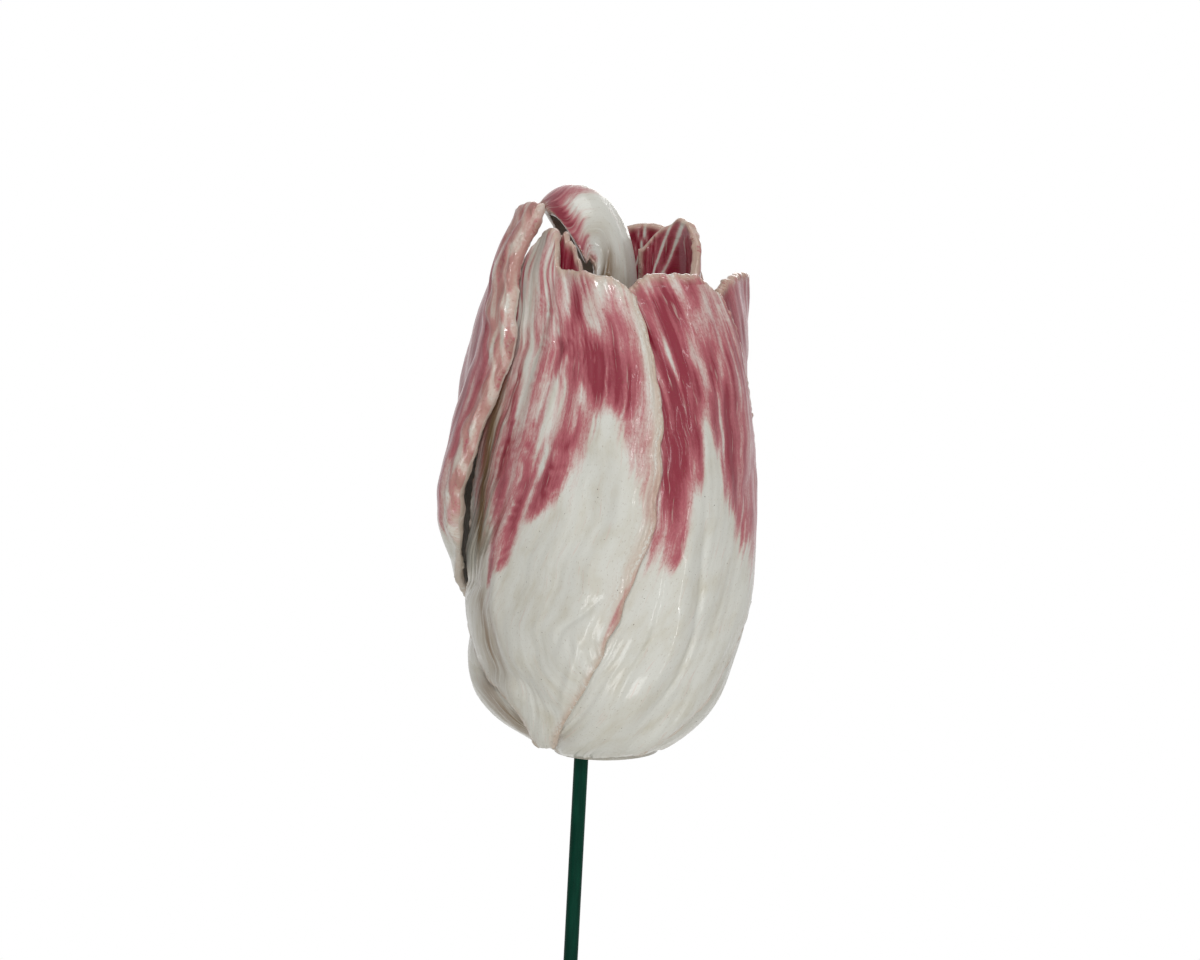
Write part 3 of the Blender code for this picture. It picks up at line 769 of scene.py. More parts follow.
@dataclass
class ClayPetal:
    """A petal pressed from a slab of clay: a thick sheet with rounded edges and uneven faces.

    Lengths are in mm. wash and inner_rose are densities of colour, 0 to 1.
    """

    name: str
    finish: Finish
    seed: int
    rows: int = 240
    columns: int = 150
    crowding_across: float = 0.88
    crowding_up: float = 0.85
    slot: str = "rose_glaze"
    width: float = 40.0
    torn: tuple[Ripple, ...] = (Ripple(0.14, 5.0, 1.0, 9), Ripple(0.056, 1.6, 1.0, 10))
    rim_mm: float = 1.3
    crumbled_mm: float = 1.4
    tooling: float = 1.0
    creases: tuple[Trail, ...] = ()
    inner_crease: float = -0.6
    inner_seed: int = 50
    wash: float = 0.5
    wash_down_to: Stations = ((0.0, 50.0), (1.0, 50.0))
    wash_below: float = 3.0
    wash_softness: float = 19.0
    strokes: tuple[Trail, ...] = ()
    brush_slant: float = 0.0
    slant_from: float = 12.0
    slant_full: float = 30.0
    stains_and_shade: tuple[Trail, ...] = ()
    inner_rose: float = 0.75
    inner_rose_from_top: float = 26.0
    inner_softness: float = 14.0
    inner_streaks: float = 0.3
    inner_bare: tuple[Trail, ...] = ()
    # Painted shade on the inner face: how dark, and from and to how far below the top edge, mm
    inner_painted_shade: float = 0.35
    inner_painted_shade_from: float = 18.0
    inner_painted_shade_full: float = 30.0

    def shares(self) -> tuple[Grid, Grid]:
        """Shares of the way across and up, closer together at the edges."""
        t, s = np.linspace(0.0, 1.0, self.columns)[None, :], np.linspace(0.0, 1.0, self.rows)[:, None]
        across = t - self.crowding_across * np.sin(2 * math.pi * t) / (2 * math.pi)
        return across, (1 - self.crowding_up) * s + self.crowding_up * np.sin(math.pi * s / 2)

    def torn_edge(self, across: Grid) -> Grid:
        """How far the top edge stands off its outline."""
        place = across * self.width
        return sum(ripple.on(place, 0 * place, self.seed) for ripple in self.torn)

    def sheet(self) -> Sheet:
        """The petal's middle surface; each kind of petal has its own."""
        raise NotImplementedError

    def brushed_across(self, sheet: Sheet) -> Grid:
        """Distance across the brush's strokes, which lean outwards on the left of the petal."""
        leaning = smoothstep((self.slant_from - sheet.across) / self.slant_full)
        return sheet.across - self.brush_slant * leaning * sheet.from_base

    def rim(self, sheet: Sheet, face: Face) -> Grid:
        """Where the glaze runs thin along a free edge, 0 to 1."""
        return bell(sheet.rim() / self.rim_mm)

    def relief(self, sheet: Sheet, face: Face) -> Grid:
        """How far a face stands off its plain shape: dents of the hand, ridges of the tool and creases."""
        seed = self.seed + (0 if face is Face.OUTER else self.inner_seed)
        x, y = self.brushed_across(sheet), sheet.from_base
        ridges = self.tooling * sum(ripple.on(x, y, seed) for ripple in TOOL_RIDGES)
        rim = bell(sheet.rim() / self.crumbled_mm) * CRUMBLED_RIM.on(x, y, seed)
        creases = sum(crease.on(sheet) for crease in self.creases)
        if face is Face.INNER:
            creases = creases * self.inner_crease
        return DENTS.on(x, y, seed) + ridges + rim + creases

    def rose(self, sheet: Sheet, face: Face) -> Grid:
        """Density of the brushed colour, 0 for none to 1 for crimson.

        Outside, a wash that ends at a ragged line and the strokes over it. Inside, a band below
        the rim.
        """
        x, y = self.brushed_across(sheet), sheet.from_base
        broad, narrow = BROAD_STREAKS.on(x, y, self.seed), NARROW_STREAKS.on(x, y, self.seed)

        def streaks(shares: tuple[float, float]) -> Grid:
            """Broad and narrow streaks, each times its share."""
            return shares[0] * broad + shares[1] * narrow

        if face is Face.INNER:
            depth = self.inner_rose_from_top - sheet.from_top + streaks(INNER_FINGERS_MM)
            brushed = self.inner_rose * smoothstep(depth / self.inner_softness)
            brushed = brushed * (1 + self.inner_streaks * streaks(INNER_DENSITY))
            return np.clip(brushed + sum(bare.on(sheet) for bare in self.inner_bare), 0.0, 1.0)
        low = through(self.wash_down_to, sheet.side) - self.wash_below + streaks(WASH_FINGERS_MM)
        washed = self.wash * smoothstep((sheet.up - low) / self.wash_softness)
        washed = washed * (1 + WASH_MOTTLE.on(x, y, self.seed) + streaks(WASH_DENSITY))
        stroked = (1 + streaks(STROKE_DENSITY)) * sum(stroke.on(sheet) for stroke in self.strokes)
        return np.clip(washed + stroked, 0.0, 1.0)

    def stain_and_shade(self, sheet: Sheet, face: Face) -> Grid:
        """Where brown glaze has gathered, and painted shade deep inside the cup and in gaps, 0 to 1."""
        # Inside, painted shade that darkens further below the top edge, deep in the cup
        if face is Face.INNER:
            depth = sheet.from_top - self.inner_painted_shade_from
            return self.inner_painted_shade * smoothstep(depth / self.inner_painted_shade_full)
        return np.clip(np.zeros_like(sheet.across) + sum(s.on(sheet) for s in self.stains_and_shade), 0.0, 1.0)

    def build(self) -> Thing:
        """Builds the closed shell of both faces and its colours."""
        sheet = self.sheet()
        rounded, normal = sheet.rounded(), sheet.normal()
        faces = shell_faces(*sheet.across.shape)
        points, colours = {}, {}
        for face in Face:
            out = face.value * (sheet.thickness / 2 + self.relief(sheet, face)) * rounded
            points[face] = sheet.middle + normal * out[..., None]
            inwards = np.full_like(sheet.across, FACE_DEPTH * face.value + PETAL_DEPTH * self.seed)
            colours[face] = {
                "lay": np.stack([self.brushed_across(sheet), sheet.from_base, inwards], axis=-1),
                "rose": self.rose(sheet, face),
                "rim": self.rim(sheet, face),
                "stain_and_shade": self.stain_and_shade(sheet, face),
            }

        def joined(outer: Grid, inner: Grid) -> Grid:
            """The outer grid's values, then the inner one's own, which leave out the shared border."""
            tail = outer.shape[2:]
            return np.concatenate([outer.reshape(-1, *tail), inner[1:-1, 1:-1].reshape(-1, *tail)])

        outer, inner = colours[Face.OUTER], colours[Face.INNER]
        placed = POSE.place(joined(points[Face.OUTER], points[Face.INNER]))
        attributes = {key: joined(outer[key], inner[key]) for key in outer}
        return make_piece(f"glazed_{self.name}", placed, faces, attributes, self.finish,
                          "flower_head", self.name)


@dataclass
class OuterPetal(ClayPetal):
    """One of the five petals that close the cup, between the seams on its left and right."""

    left: Seam | None = None
    right: Seam | None = None
    turn: float = 0.0
    top: float = 96.0
    outline: Stations = ()
    base: float = PETAL_BASE
    row_power: float = 1.5
    pressed: float = 0.35
    pressed_width: float = 2.2
    edge_shift: Stations = ((0.0, 0.0), (1.0, 0.0))

    def tops(self, across: Grid) -> Grid:
        """Height of the top edge: its outline, roughened."""
        return self.top + through(self.outline, across) + self.torn_edge(across)

    def offset(self, height: Grid, azimuth: Grid, across: Grid) -> Grid:
        """More distance from the form; only some petals stand off."""
        return np.zeros_like(azimuth)

    def clay(self, height: Grid, across: Grid) -> Grid | float:
        """Thickness of the clay."""
        return LAYERS.thickness

    def sheet(self) -> Sheet:
        """Half a layer out where it lies on its neighbour, half a layer in where it is tucked under."""
        across, up = self.shares()
        height = self.base + (self.tops(across) - self.base) * up**self.row_power
        _, start, start_under, start_over = self.left.edges(height)
        end, _, end_over, end_under = self.right.edges(height)
        start = start + self.turn + START_EDGE.on(height, 0 * height, self.seed)
        end = end + END_EDGE.on(height, 0 * height, self.seed) + through(self.edge_shift, height)
        azimuth = start + across * (end - start)
        crossed = LAYERS.overlap * np.clip(height / LAYERS.overlap_full, 0.0, 1.0)
        from_end = 1 - smoothstep((end - azimuth - crossed) / LAYERS.lift_ramp)
        from_start = 1 - smoothstep((azimuth - start - crossed) / LAYERS.lift_ramp)
        lift = from_end * (end_over - end_under) + from_start * (start_over - start_under)
        # The free edge is pressed down on what it covers
        near_end = (end - azimuth) * np.radians(FORM.radius(height))
        pressed = self.pressed * bell(near_end / self.pressed_width) * end_over
        offset = LAYERS.layer / 2 * np.clip(lift, -1.0, 1.0) - pressed + self.offset(height, azimuth, across)
        return Sheet(FORM.point(azimuth, height, offset), self.clay(height, across), azimuth, height)


@dataclass
class FrontPetal(OuterPetal):
    """The large front petal, with a narrow folded tip at its upper left and a bare right border."""

    fold_rise: float = 8.3
    fold_at: float = -38.3
    fold_width: float = 12.2
    border: float = 2.8
    border_from: float = 24.0
    border_ramp: float = 20.0

    def tops(self, across: Grid) -> Grid:
        """The plain top edge with the folded tip standing on it."""
        here = np.full_like(across, self.top)
        left = self.left.edges(here)[1] + self.turn
        right = self.right.edges(here)[0]
        azimuth = left + across * (right - left)
        away = np.abs(azimuth - self.fold_at) / self.fold_width
        return super().tops(across) + self.fold_rise * bell(away**2)

    def rim(self, sheet: Sheet, face: Face) -> Grid:
        """The glaze runs thin in a wider band along the right edge."""
        grown = smoothstep((sheet.up - self.border_from) / self.border_ramp)
        return np.maximum(super().rim(sheet, face), bell(sheet.from_right / self.border) * grown)


@dataclass
class LeftPetal(OuterPetal):
    """The left petal, whose free rim is rolled into a thick lip and stands off the front petal."""

    bulge: float = 2.8
    bulge_height: float = 54.0
    bulge_spread: float = 14.0
    roll: float = 3.6
    roll_from: float = 38.0
    roll_grows: float = 12.0
    rolled_part: tuple[float, float] = (0.72, 0.92)
    stand: float = 0.5
    foot_bulge: float = 2.8
    foot_height: float = 17.0
    foot_spread: float = 10.0
    foot_from: float = 0.3
    foot_ramp: float = 0.35
    lip_width: float = 4.2
    lip_widening: float = 3.2
    lip_widens_from: float = 76.0
    lip_from: float = 36.0
    lip_ramp: float = 16.0
    lip_softness: float = 2.4
    lip_bare: float = 0.45
    edge_bare: float = 0.6
    lip_paleness: float = 0.6
    groove: float = -0.35
    groove_at: float = 0.35
    groove_spread: float = 0.25
    crumbled_lip: float = 1.3
    bulge_from_left: float = 0.5
    patchiness: float = 0.55
    edge_shift: Stations = (
        (34.0, 0.0), (42.0, 1.0), (52.0, 1.4), (60.0, 0.9), (72.0, 0.5), (84.0, 1.3), (94.0, 2.8),
        (102.0, 2.4), (112.0, 0.6),
    )

    def rolled(self, height: Grid, across: Grid) -> Grid:
        """Extra thickness of the rolled rim."""
        start, full = self.rolled_part
        up = smoothstep((height - self.roll_from) / self.roll_grows)
        return (self.roll - LAYERS.thickness) * up * smoothstep((across - start) / (full - start))

    def lip(self, sheet: Sheet) -> Grid:
        """Where the rolled lip is, 0 to 1: a band along the free edge that is wider near the top."""
        widened = self.lip_widening * smoothstep((sheet.up - self.lip_widens_from) / self.lip_ramp)
        width = self.lip_width + widened + LIP_WIDTH.on(sheet.up, 0 * sheet.up)
        grown = smoothstep((sheet.up - self.lip_from) / self.lip_ramp)
        return smoothstep((width - sheet.from_right) / self.lip_softness) * grown

    def rim(self, sheet: Sheet, face: Face) -> Grid:
        """The lip is half bare of colour, the edges a little more."""
        return np.maximum(self.edge_bare * super().rim(sheet, face), self.lip_bare * self.lip(sheet))

    def rose(self, sheet: Sheet, face: Face) -> Grid:
        """Patches of pink reach over the lip."""
        patches = smoothstep(self.patchiness + LIP_STREAKS.on(sheet.across, sheet.from_base))
        return super().rose(sheet, face) * (1 - self.lip_paleness * self.lip(sheet) * (1 - patches))

    def relief(self, sheet: Sheet, face: Face) -> Grid:
        """The lip is uneven, with a groove behind it and a crumbled edge."""
        lip, x, y = self.lip(sheet), sheet.from_right, sheet.from_base
        groove = self.groove * bell((lip - self.groove_at) / self.groove_spread) * (lip > 0.01)
        lumps = lip * sum(ripple.on(x, y) for ripple in LIP_LUMPS)
        crumbs = bell(x / self.crumbled_lip) * LIP_CRUMBS.on(x, y)
        return super().relief(sheet, face) + groove + lumps + crumbs

    def clay(self, height: Grid, across: Grid) -> Grid:
        """Plain clay, thicker in the roll."""
        return LAYERS.thickness + self.rolled(height, across)

    def offset(self, height: Grid, azimuth: Grid, across: Grid) -> Grid:
        """Stands off at its middle and its foot, and more behind the rolled rim."""
        standing = self.bulge * bell((height - self.bulge_height) / self.bulge_spread)
        more = self.rolled(height, across)
        low = self.foot_bulge * bell((height - self.foot_height) / self.foot_spread)
        for inwards in (across - self.foot_from, 1 - across):
            low = low * smoothstep(inwards / self.foot_ramp)
        rolled_out = more / 2 + self.stand * more / (self.roll - LAYERS.thickness)
        return standing * smoothstep(across / self.bulge_from_left) + low + rolled_out


def core_top() -> float:
    """Height of the lump's flat top."""
    return float(FORM.point(0.0, np.asarray(CORE_HEIGHT), LAYERS.core_offset)[2])


@dataclass
class InnerArcPetal(ClayPetal):
    """An upright arc of clay that leans on the outer petals below and stands free above."""

    radius: float = 9.6
    face_azimuth: float = 115.0
    seat_azimuth: float = 130.0
    reach: float = 10.4
    seated_up_to: float = 45.0
    free_from: float = 92.0

    def distance(self, height: Grid) -> Grid:
        """From the flower's axis to the middle of the arc."""
        lean = FORM.lean(height, math.radians(self.seat_azimuth))
        touching = FORM.radius(height) - lean + LAYERS.inner_offset - self.radius
        free = smoothstep((height - self.seated_up_to) / (self.free_from - self.seated_up_to))
        return touching * (1 - free) + np.minimum(self.reach, touching) * free

    def arc(self, height: Grid, azimuth: Grid) -> Grid:
        """A circle's arc about a middle that leans towards the seat."""
        towards, angle = math.radians(self.seat_azimuth), np.radians(azimuth)
        distance = self.distance(height)
        x = distance * math.sin(towards) + self.radius * np.sin(angle)
        y = -distance * math.cos(towards) - self.radius * np.cos(angle)
        return np.stack([x, y, np.broadcast_to(height, x.shape)], axis=-1)

    def foot(self) -> float:
        """Height where it is luted on the lump."""
        return core_top() + LAYERS.foot_gap


@dataclass
class BackRightPetal(InnerArcPetal):
    """The ragged petal inside the back right of the cup."""

    width: float = 26.0
    torn: tuple[Ripple, ...] = (Ripple(0.25, 4.5, 1.0, 9),)
    top: float = 103.6
    half_angle: float = 45.0
    widening: float = 30.0
    outline: Stations = (
        (0.0, -13.4), (0.2, -9.6), (0.38, -3.8), (0.55, 0.0), (0.68, 0.0), (0.85, -2.5), (1.0, -5.8),
    )

    def sheet(self) -> Sheet:
        """An arc that widens upwards, with a ragged top."""
        across, up = self.shares()
        base = self.foot()
        height = base + (self.top + through(self.outline, across) + self.torn_edge(across) - base) * up
        spread = self.half_angle + self.widening * smoothstep((height - base) / (FORM.belly_height - base))
        middle = self.arc(height, self.face_azimuth + spread * (2 * across - 1))
        return Sheet(middle, LAYERS.thickness)


@dataclass
class HoodPetal(InnerArcPetal):
    """The tall inner petal: a twisting gutter whose top curls over to the left like an egg's end."""

    spring: float = 92.0
    top: float = 110.6
    curl: float = 128.0
    curl_share: float = 0.42
    foot_face: float = 165.0
    foot_width: float = 44.0
    twist_from: float = 38.0
    twist_to: float = 84.0
    front_margin: Stations = (
        (0.0, 115.0), (0.27, 104.0), (0.39, 93.0), (0.55, 78.0), (0.70, 73.0), (0.92, 58.0), (1.0, 20.0),
    )
    back_margin: Stations = ((0.0, 85.0), (0.60, 75.0), (0.92, 40.0), (1.0, 14.0))

    def sheet(self) -> Sheet:
        """Rows up the gutter, then rows over the egg.

        The egg's points go out by the cosines of both angles, sideways by the sine of the cross
        angle, and up by the cosine of the cross angle times the sine of the curl.
        """
        across, up = self.shares()
        base = self.foot()
        split = 1 - self.curl_share
        height = base + (self.spring - base) * np.clip(up / split, 0.0, 1.0)
        widened = smoothstep((height - base) / (FORM.belly_height - base))
        front = self.foot_width + (self.front_margin[0][1] - self.foot_width) * widened
        back = self.foot_width + (self.back_margin[0][1] - self.foot_width) * widened
        twisted = smoothstep((height - self.twist_from) / (self.twist_to - self.twist_from))
        face = self.foot_face + (self.face_azimuth - self.foot_face) * twisted
        wall = self.arc(height, face - front + across * (front + back))
        share = np.clip((up - split) / self.curl_share, 0.0, 1.0)
        turned = np.radians(self.curl) * share
        front, back = through(self.front_margin, share), through(self.back_margin, share)
        cross = np.radians(across * (front + back) - front)
        distance = self.distance(np.asarray(self.spring))
        seat, facing = math.radians(self.seat_azimuth), math.radians(self.face_azimuth)
        out = self.radius * np.cos(cross) * np.cos(turned)
        side = self.radius * np.sin(cross)
        egg = np.stack([
            distance * math.sin(seat) + out * math.sin(facing) + side * math.cos(facing),
            -distance * math.cos(seat) - out * math.cos(facing) + side * math.sin(facing),
            self.spring + (self.top - self.spring) * np.cos(cross) * np.sin(turned),
        ], axis=-1)
        middle = np.where((turned > 0)[..., None], egg, wall)
        return Sheet(middle, LAYERS.thickness)


@dataclass
class InnerRaggedPetal(ClayPetal):
    """The small torn petal that lines the front one, one layer further in."""

    width: float = 14.0
    torn: tuple[Ripple, ...] = (Ripple(0.45, 2.5, 1.0, 9),)
    start: float = -40.0
    end: float = -8.0
    top: float = 103.0
    outline: Stations = ((0.0, -4.0), (0.2, -0.5), (0.45, 0.0), (0.7, -3.0), (1.0, -9.0))

    def sheet(self) -> Sheet:
        """A strip of the form between two azimuths with a torn top."""
        across, up = self.shares()
        offset = LAYERS.inner_offset - LAYERS.seat_gap
        base = core_top() + LAYERS.foot_gap
        base = base - (float(FORM.point(0.0, np.asarray(CORE_HEIGHT), offset)[2]) - CORE_HEIGHT)
        height = base + (self.top + through(self.outline, across) + self.torn_edge(across) - base) * up
        azimuth = self.start + (self.end - self.start) * across + 0 * height
        middle = FORM.point(azimuth, height, np.full_like(height, offset))
        return Sheet(middle, LAYERS.thickness, azimuth, height)


HOOD_STROKES = trails(
    ((96, 8, 2, 0), (101, 12, 2.5, 0.6), (106, 20, 3, 0.8), (112, 34, 3, 0.85), (118, 50, 3, 0.8),
     (124, 60, 2, 0.6)),
    ((88, 20, 1.2, 0), (95, 24, 1.6, 0.45), (102, 34, 1.8, 0.55), (108, 48, 2, 0.5), (116, 60, 2, 0.4)),
    ((90, 40, 1.2, 0), (97, 42, 1.4, 0.4), (103, 50, 1.6, 0.45), (110, 62, 1.6, 0.4)),
    ((84, 62, 2, 0), (92, 60, 3, 0.4), (101, 60, 3.5, 0.5), (112, 66, 3, 0.5)),
    ((84, 4, 2, 0), (88, 6, 3, 0.45), (93, 11, 4.5, 0.75), (98, 17, 5, 0.9), (104, 25, 4.5, 0.9),
     (110, 34, 3.5, 0.6)),
)
HOOD_STAINS = trails(
    ((50, 12, 3, 0.5), (66, 14, 4, 0.6), (76, 16, 4, 0.7), (82, 17, 3, 0.35), (90, 18, 2, 0.05)),
    ((50, 34, 6, 0.2), (66, 34, 7, 0.15), (80, 36, 6, 0)),
    ((75, 19, 1.2, 0), (78, 20, 1.8, 0.8), (81, 21, 1.6, 0.7), (84, 22, 1.2, 0)),
)
HOOD_CREASES = trails(
    ((58, 26, 2.0, 0), (68, 28, 2.0, 0.4), (80, 30, 2.0, 0.4), (92, 34, 2.0, 0.25), (102, 40, 2, 0)),
    ((60, 16, 1.4, 0), (70, 17, 1.4, -0.25), (80, 18, 1.4, -0.25), (88, 20, 1.4, 0)),
)
LEFT_STROKES = trails(
    ((44, 280, 2.5, 0), (56, 281, 4, 0.3), (72, 283, 4.5, 0.4), (88, 290, 3.5, 0.35), (100, 297, 2, 0)),
)
LEFT_STAINS = trails(
    ((3, 300, 4, 0.8), (10, 298, 4, 0.9), (16, 288, 3, 0.7), (24, 272, 2, 0.3), (30, 268, 2, 0)),
)
BACK_RIGHT_BARE = trails(
    ((66, 96, 0.4, 0), (72, 89, 0.45, -0.6), (78, 80, 0.5, -0.65), (84, 71, 0.6, -0.65),
     (90, 66, 0.6, -0.7)),
    (
        (64, 92, 0.5, 0), (72, 81, 0.65, -0.6), (78, 70, 0.8, -0.65), (84, 59, 1.2, -0.7),
        (90, 54, 1.4, -0.7),
    ),
)
FRONT_STROKES = trails(
    # Crimson: the patch in the middle, the band above it and the long streaks to the left
    ((69, 5, 3, 0), (72.5, 4, 4.5, 0.55), (77, 0, 6, 0.8), (82, -3, 5, 0.7), (86.5, -6, 3, 0.2),
     (92, -9, 2, 0)),
    ((76, -21, 1.6, 0), (82, -18, 2, 0.35), (88, -14, 2, 0.4), (93, -11, 2.2, 0.35), (97, -10, 2, 0.25)),
    ((80, 6, 2, 0), (86, 5, 3, 0.25), (91, 3, 3, 0.2), (95, 2, 2, 0)),
    ((49, -33, 1.5, 0), (53, -27, 2.4, 0.55), (57, -23, 2.8, 0.65), (61, -19, 2.6, 0.45),
     (68, -13, 2, 0.3), (74, -9, 1.5, 0)),
    (
        (38, -47, 1, 0), (42, -43, 1.4, 0.5), (49, -38, 2, 0.6), (56, -33, 2, 0.5), (66, -27, 1.6, 0.3),
        (76, -21, 1, 0),
    ),
    ((33, -55, 0.9, 0), (40, -50, 1.2, 0.35), (48, -47, 1.6, 0.4), (58, -44, 2.2, 0.35),
     (70, -40, 2, 0.25), (84, -36, 1, 0)),
    ((26, -59, 0.6, 0), (34, -54, 0.7, 0.25), (42, -49, 0.7, 0.3), (50, -45, 0.8, 0)),
    # Cream left bare: the folded tip, the line beside the crimson, the right border and slanting streaks
    ((78, -41, 2.5, 0), (88, -39, 3.4, -0.16), (98, -38, 3.6, -0.24), (105, -37, 3, -0.3)),
    ((78, -3, 1.2, 0), (86, -3, 2, -0.2), (91, -3, 2.4, -0.3), (97, -2, 2.4, -0.3)),
    ((56, 20, 2, 0), (62, 21, 2, -0.15), (70, 22, 2.4, -0.35), (76, 21, 3.2, -0.4),
     (84, 18, 3.2, -0.42), (90, 13, 2.4, -0.35), (95, 9, 1.5, -0.2)),
    (
        (56, -33, 0.8, 0), (61, -29, 1.1, -0.4), (67, -25, 1.2, -0.42), (74, -21, 1, -0.3),
        (80, -18, 0.8, 0),
    ),
    ((46, -37, 0.6, 0), (52, -33, 0.8, -0.3), (60, -26, 0.8, -0.35), (66, -22, 0.7, 0)),
    ((62, -41, 0.9, 0), (70, -37, 1.3, -0.25), (80, -33, 1.3, -0.25), (88, -30, 0.8, 0)),
    # Pink along the lower right edge
    ((24, -3, 0.8, 0), (28, 0, 1.0, 0.35), (34, 5, 1.1, 0.5), (40, 11, 1.0, 0.45), (47, 17, 1.2, 0.2),
     (56, 20, 1.2, 0)),
)
FRONT_STAINS_AND_SHADE = trails(
    # Painted shade in the gap beside the left petal; a broad band down the left side, partly thin glaze and
    # partly painted shade; brown stain lines low down
    ((40, -64, 2, 0), (46, -62, 2, 0.9), (55, -60, 2, 1.0), (65, -55, 2, 1.0), (75, -49, 2, 0.9),
     (84, -45, 1.5, 0)),
    ((10, -58, 4, 0.2), (20, -58, 5, 0.4), (35, -60, 5, 0.4), (48, -60, 4, 0.3), (60, -56, 3, 0)),
    ((4, -62, 3, 0.8), (9, -54, 2.5, 0.55), (14, -51, 2, 0.1), (18, -50, 2, 0)),
    ((14, -46, 0.5, 0), (22, -52, 0.7, 0.45), (32, -53, 0.7, 0.4), (42, -49, 0.6, 0)),
    ((16, -54, 0.9, 0), (24, -59, 1.3, 0.55), (34, -60, 1.4, 0.5), (46, -54, 1.2, 0.35),
     (58, -48, 0.8, 0)),
)
FRONT_WASH = (
    (-60, 40), (-50, 42), (-42, 43), (-34, 46), (-22, 48), (-14, 51), (-8, 56), (-3, 64), (1, 68), (5, 62),
    (9, 52), (14, 45), (20, 41), (24, 40),
)
RIGHT_STROKES = trails(
    ((38, 24, 1, 0), (43, 27, 1.6, 0.45), (50, 30, 2, 0.5), (58, 31, 2.2, 0.55), (66, 31, 2.6, 0.6),
     (76, 31, 2.4, 0.45), (84, 31, 1.5, 0)),
    (
        (66, 26, 1, 0), (74, 26.5, 1.6, 0.2), (82, 26, 2, 0.2), (87, 26, 3, 0.35), (91, 25, 3, 0.4),
        (94, 24, 2, 0),
    ),
    ((52, 38, 0.8, 0), (58, 38.5, 1.2, 0.5), (66, 39, 1.4, 0.45), (76, 39, 1.4, 0.25), (84, 39, 1, 0)),
    ((60, 50, 1.2, 0), (68, 48, 1.8, 0.35), (78, 47, 2.2, 0.35), (88, 46, 2, 0.2), (92, 44, 1, 0)),
    ((44, 66, 1, 0), (52, 61, 1.4, 0.35), (60, 57, 1.6, 0.4), (70, 55, 1.6, 0.3), (82, 54, 1, 0)),
    # Cream left bare
    ((50, 41, 1.6, 0), (64, 42, 2.2, -0.12), (80, 43, 3.6, -0.26), (88, 44, 4.4, -0.26),
     (94, 43, 4, -0.22)),
    (
        (46, 34, 0.7, 0), (56, 35, 1.0, -0.2), (66, 35.5, 1.2, -0.24), (76, 36, 1.2, -0.18),
        (88, 36, 0.9, 0),
    ),
    ((54, 53, 0.9, 0), (68, 52, 1.2, -0.2), (78, 51, 1.2, -0.2), (90, 50, 1.0, -0.1)),
)
RIGHT_WASH = (
    (10, 38), (18, 38), (22, 38), (26, 42), (30, 46), (34, 52), (38, 56), (43, 62), (48, 58), (54, 49),
    (60, 42), (68, 36), (80, 30), (95, 28),
)
RIGHT_CREASES = trails(
    # The long raised crest with a furrow on both sides, and the folds near the mouth
    (
        (4, 4, 2.6, 0.2), (10, 10, 2.8, 0.6), (16, 15.5, 2.9, 0.9), (22, 22.6, 2.9, 1.05),
        (27, 27.8, 2.8, 1.1), (37, 31.4, 2.6, 1.1), (43, 32.5, 2.5, 0.9), (52, 33, 2.4, 0.45),
        (60, 33, 2.4, 0),
    ),
    ((8, 0, 0.8, 0), (14, 3.5, 0.8, -0.3), (20, 9.5, 0.8, -0.45), (27, 18, 0.8, -0.5),
     (37, 24, 0.8, -0.5), (46, 27, 0.8, -0.3), (54, 29, 0.9, 0)),
    (
        (8, 16, 0.8, 0), (14, 25, 0.8, -0.35), (20, 33, 0.8, -0.45), (27, 37.5, 0.8, -0.5),
        (37, 40, 0.8, -0.5), (48, 41.5, 0.8, -0.35), (60, 43, 0.9, 0),
    ),
    ((62, 24, 1.4, 0), (76.7, 27.5, 1.5, 0.35), (81, 24.5, 1.6, 0.6), (86, 20.5, 1.6, 0.6),
     (91.3, 16.5, 1.4, 0.3)),
    ((70, 31, 1.2, 0), (78, 31, 1.4, -0.4), (86, 27, 1.6, -0.5), (94, 22, 1.5, -0.3)),
)
FRONT_CREASES = trails(
    ((12, -22, 1.2, 0), (17, -18, 1.2, 0.5), (22, -14, 1.1, 0.6), (30, -9, 1.2, 0.3), (36, -3, 1.2, 0)),
    ((12, -19, 0.9, 0), (17, -14.5, 0.9, -0.35), (22, -10.5, 0.9, -0.4), (28, -6, 0.9, 0)),
    ((24, -22, 0.8, 0), (30, -17, 0.8, -0.4), (33, -9, 0.8, -0.45), (36, -2, 0.7, -0.2),
     (37.5, 1, 0.6, 0)),
    ((20, -48, 1.2, 0), (32, -50, 1.3, 0.5), (46, -45, 1.4, 0.5), (60, -36, 1.4, 0.4), (74, -28, 1.2, 0)),
    ((60, -38, 1.6, 0), (75, -34, 1.6, -0.35), (88, -27, 1.5, -0.6), (96, -25, 1.4, -0.6),
     (100, -25, 1.2, 0)),
    ((45, 2, 1.5, 0), (55, 5, 1.6, 0.35), (68, 9, 1.8, 0.35), (84, 8, 1.6, 0.2), (92, 5, 1.4, 0)),
)


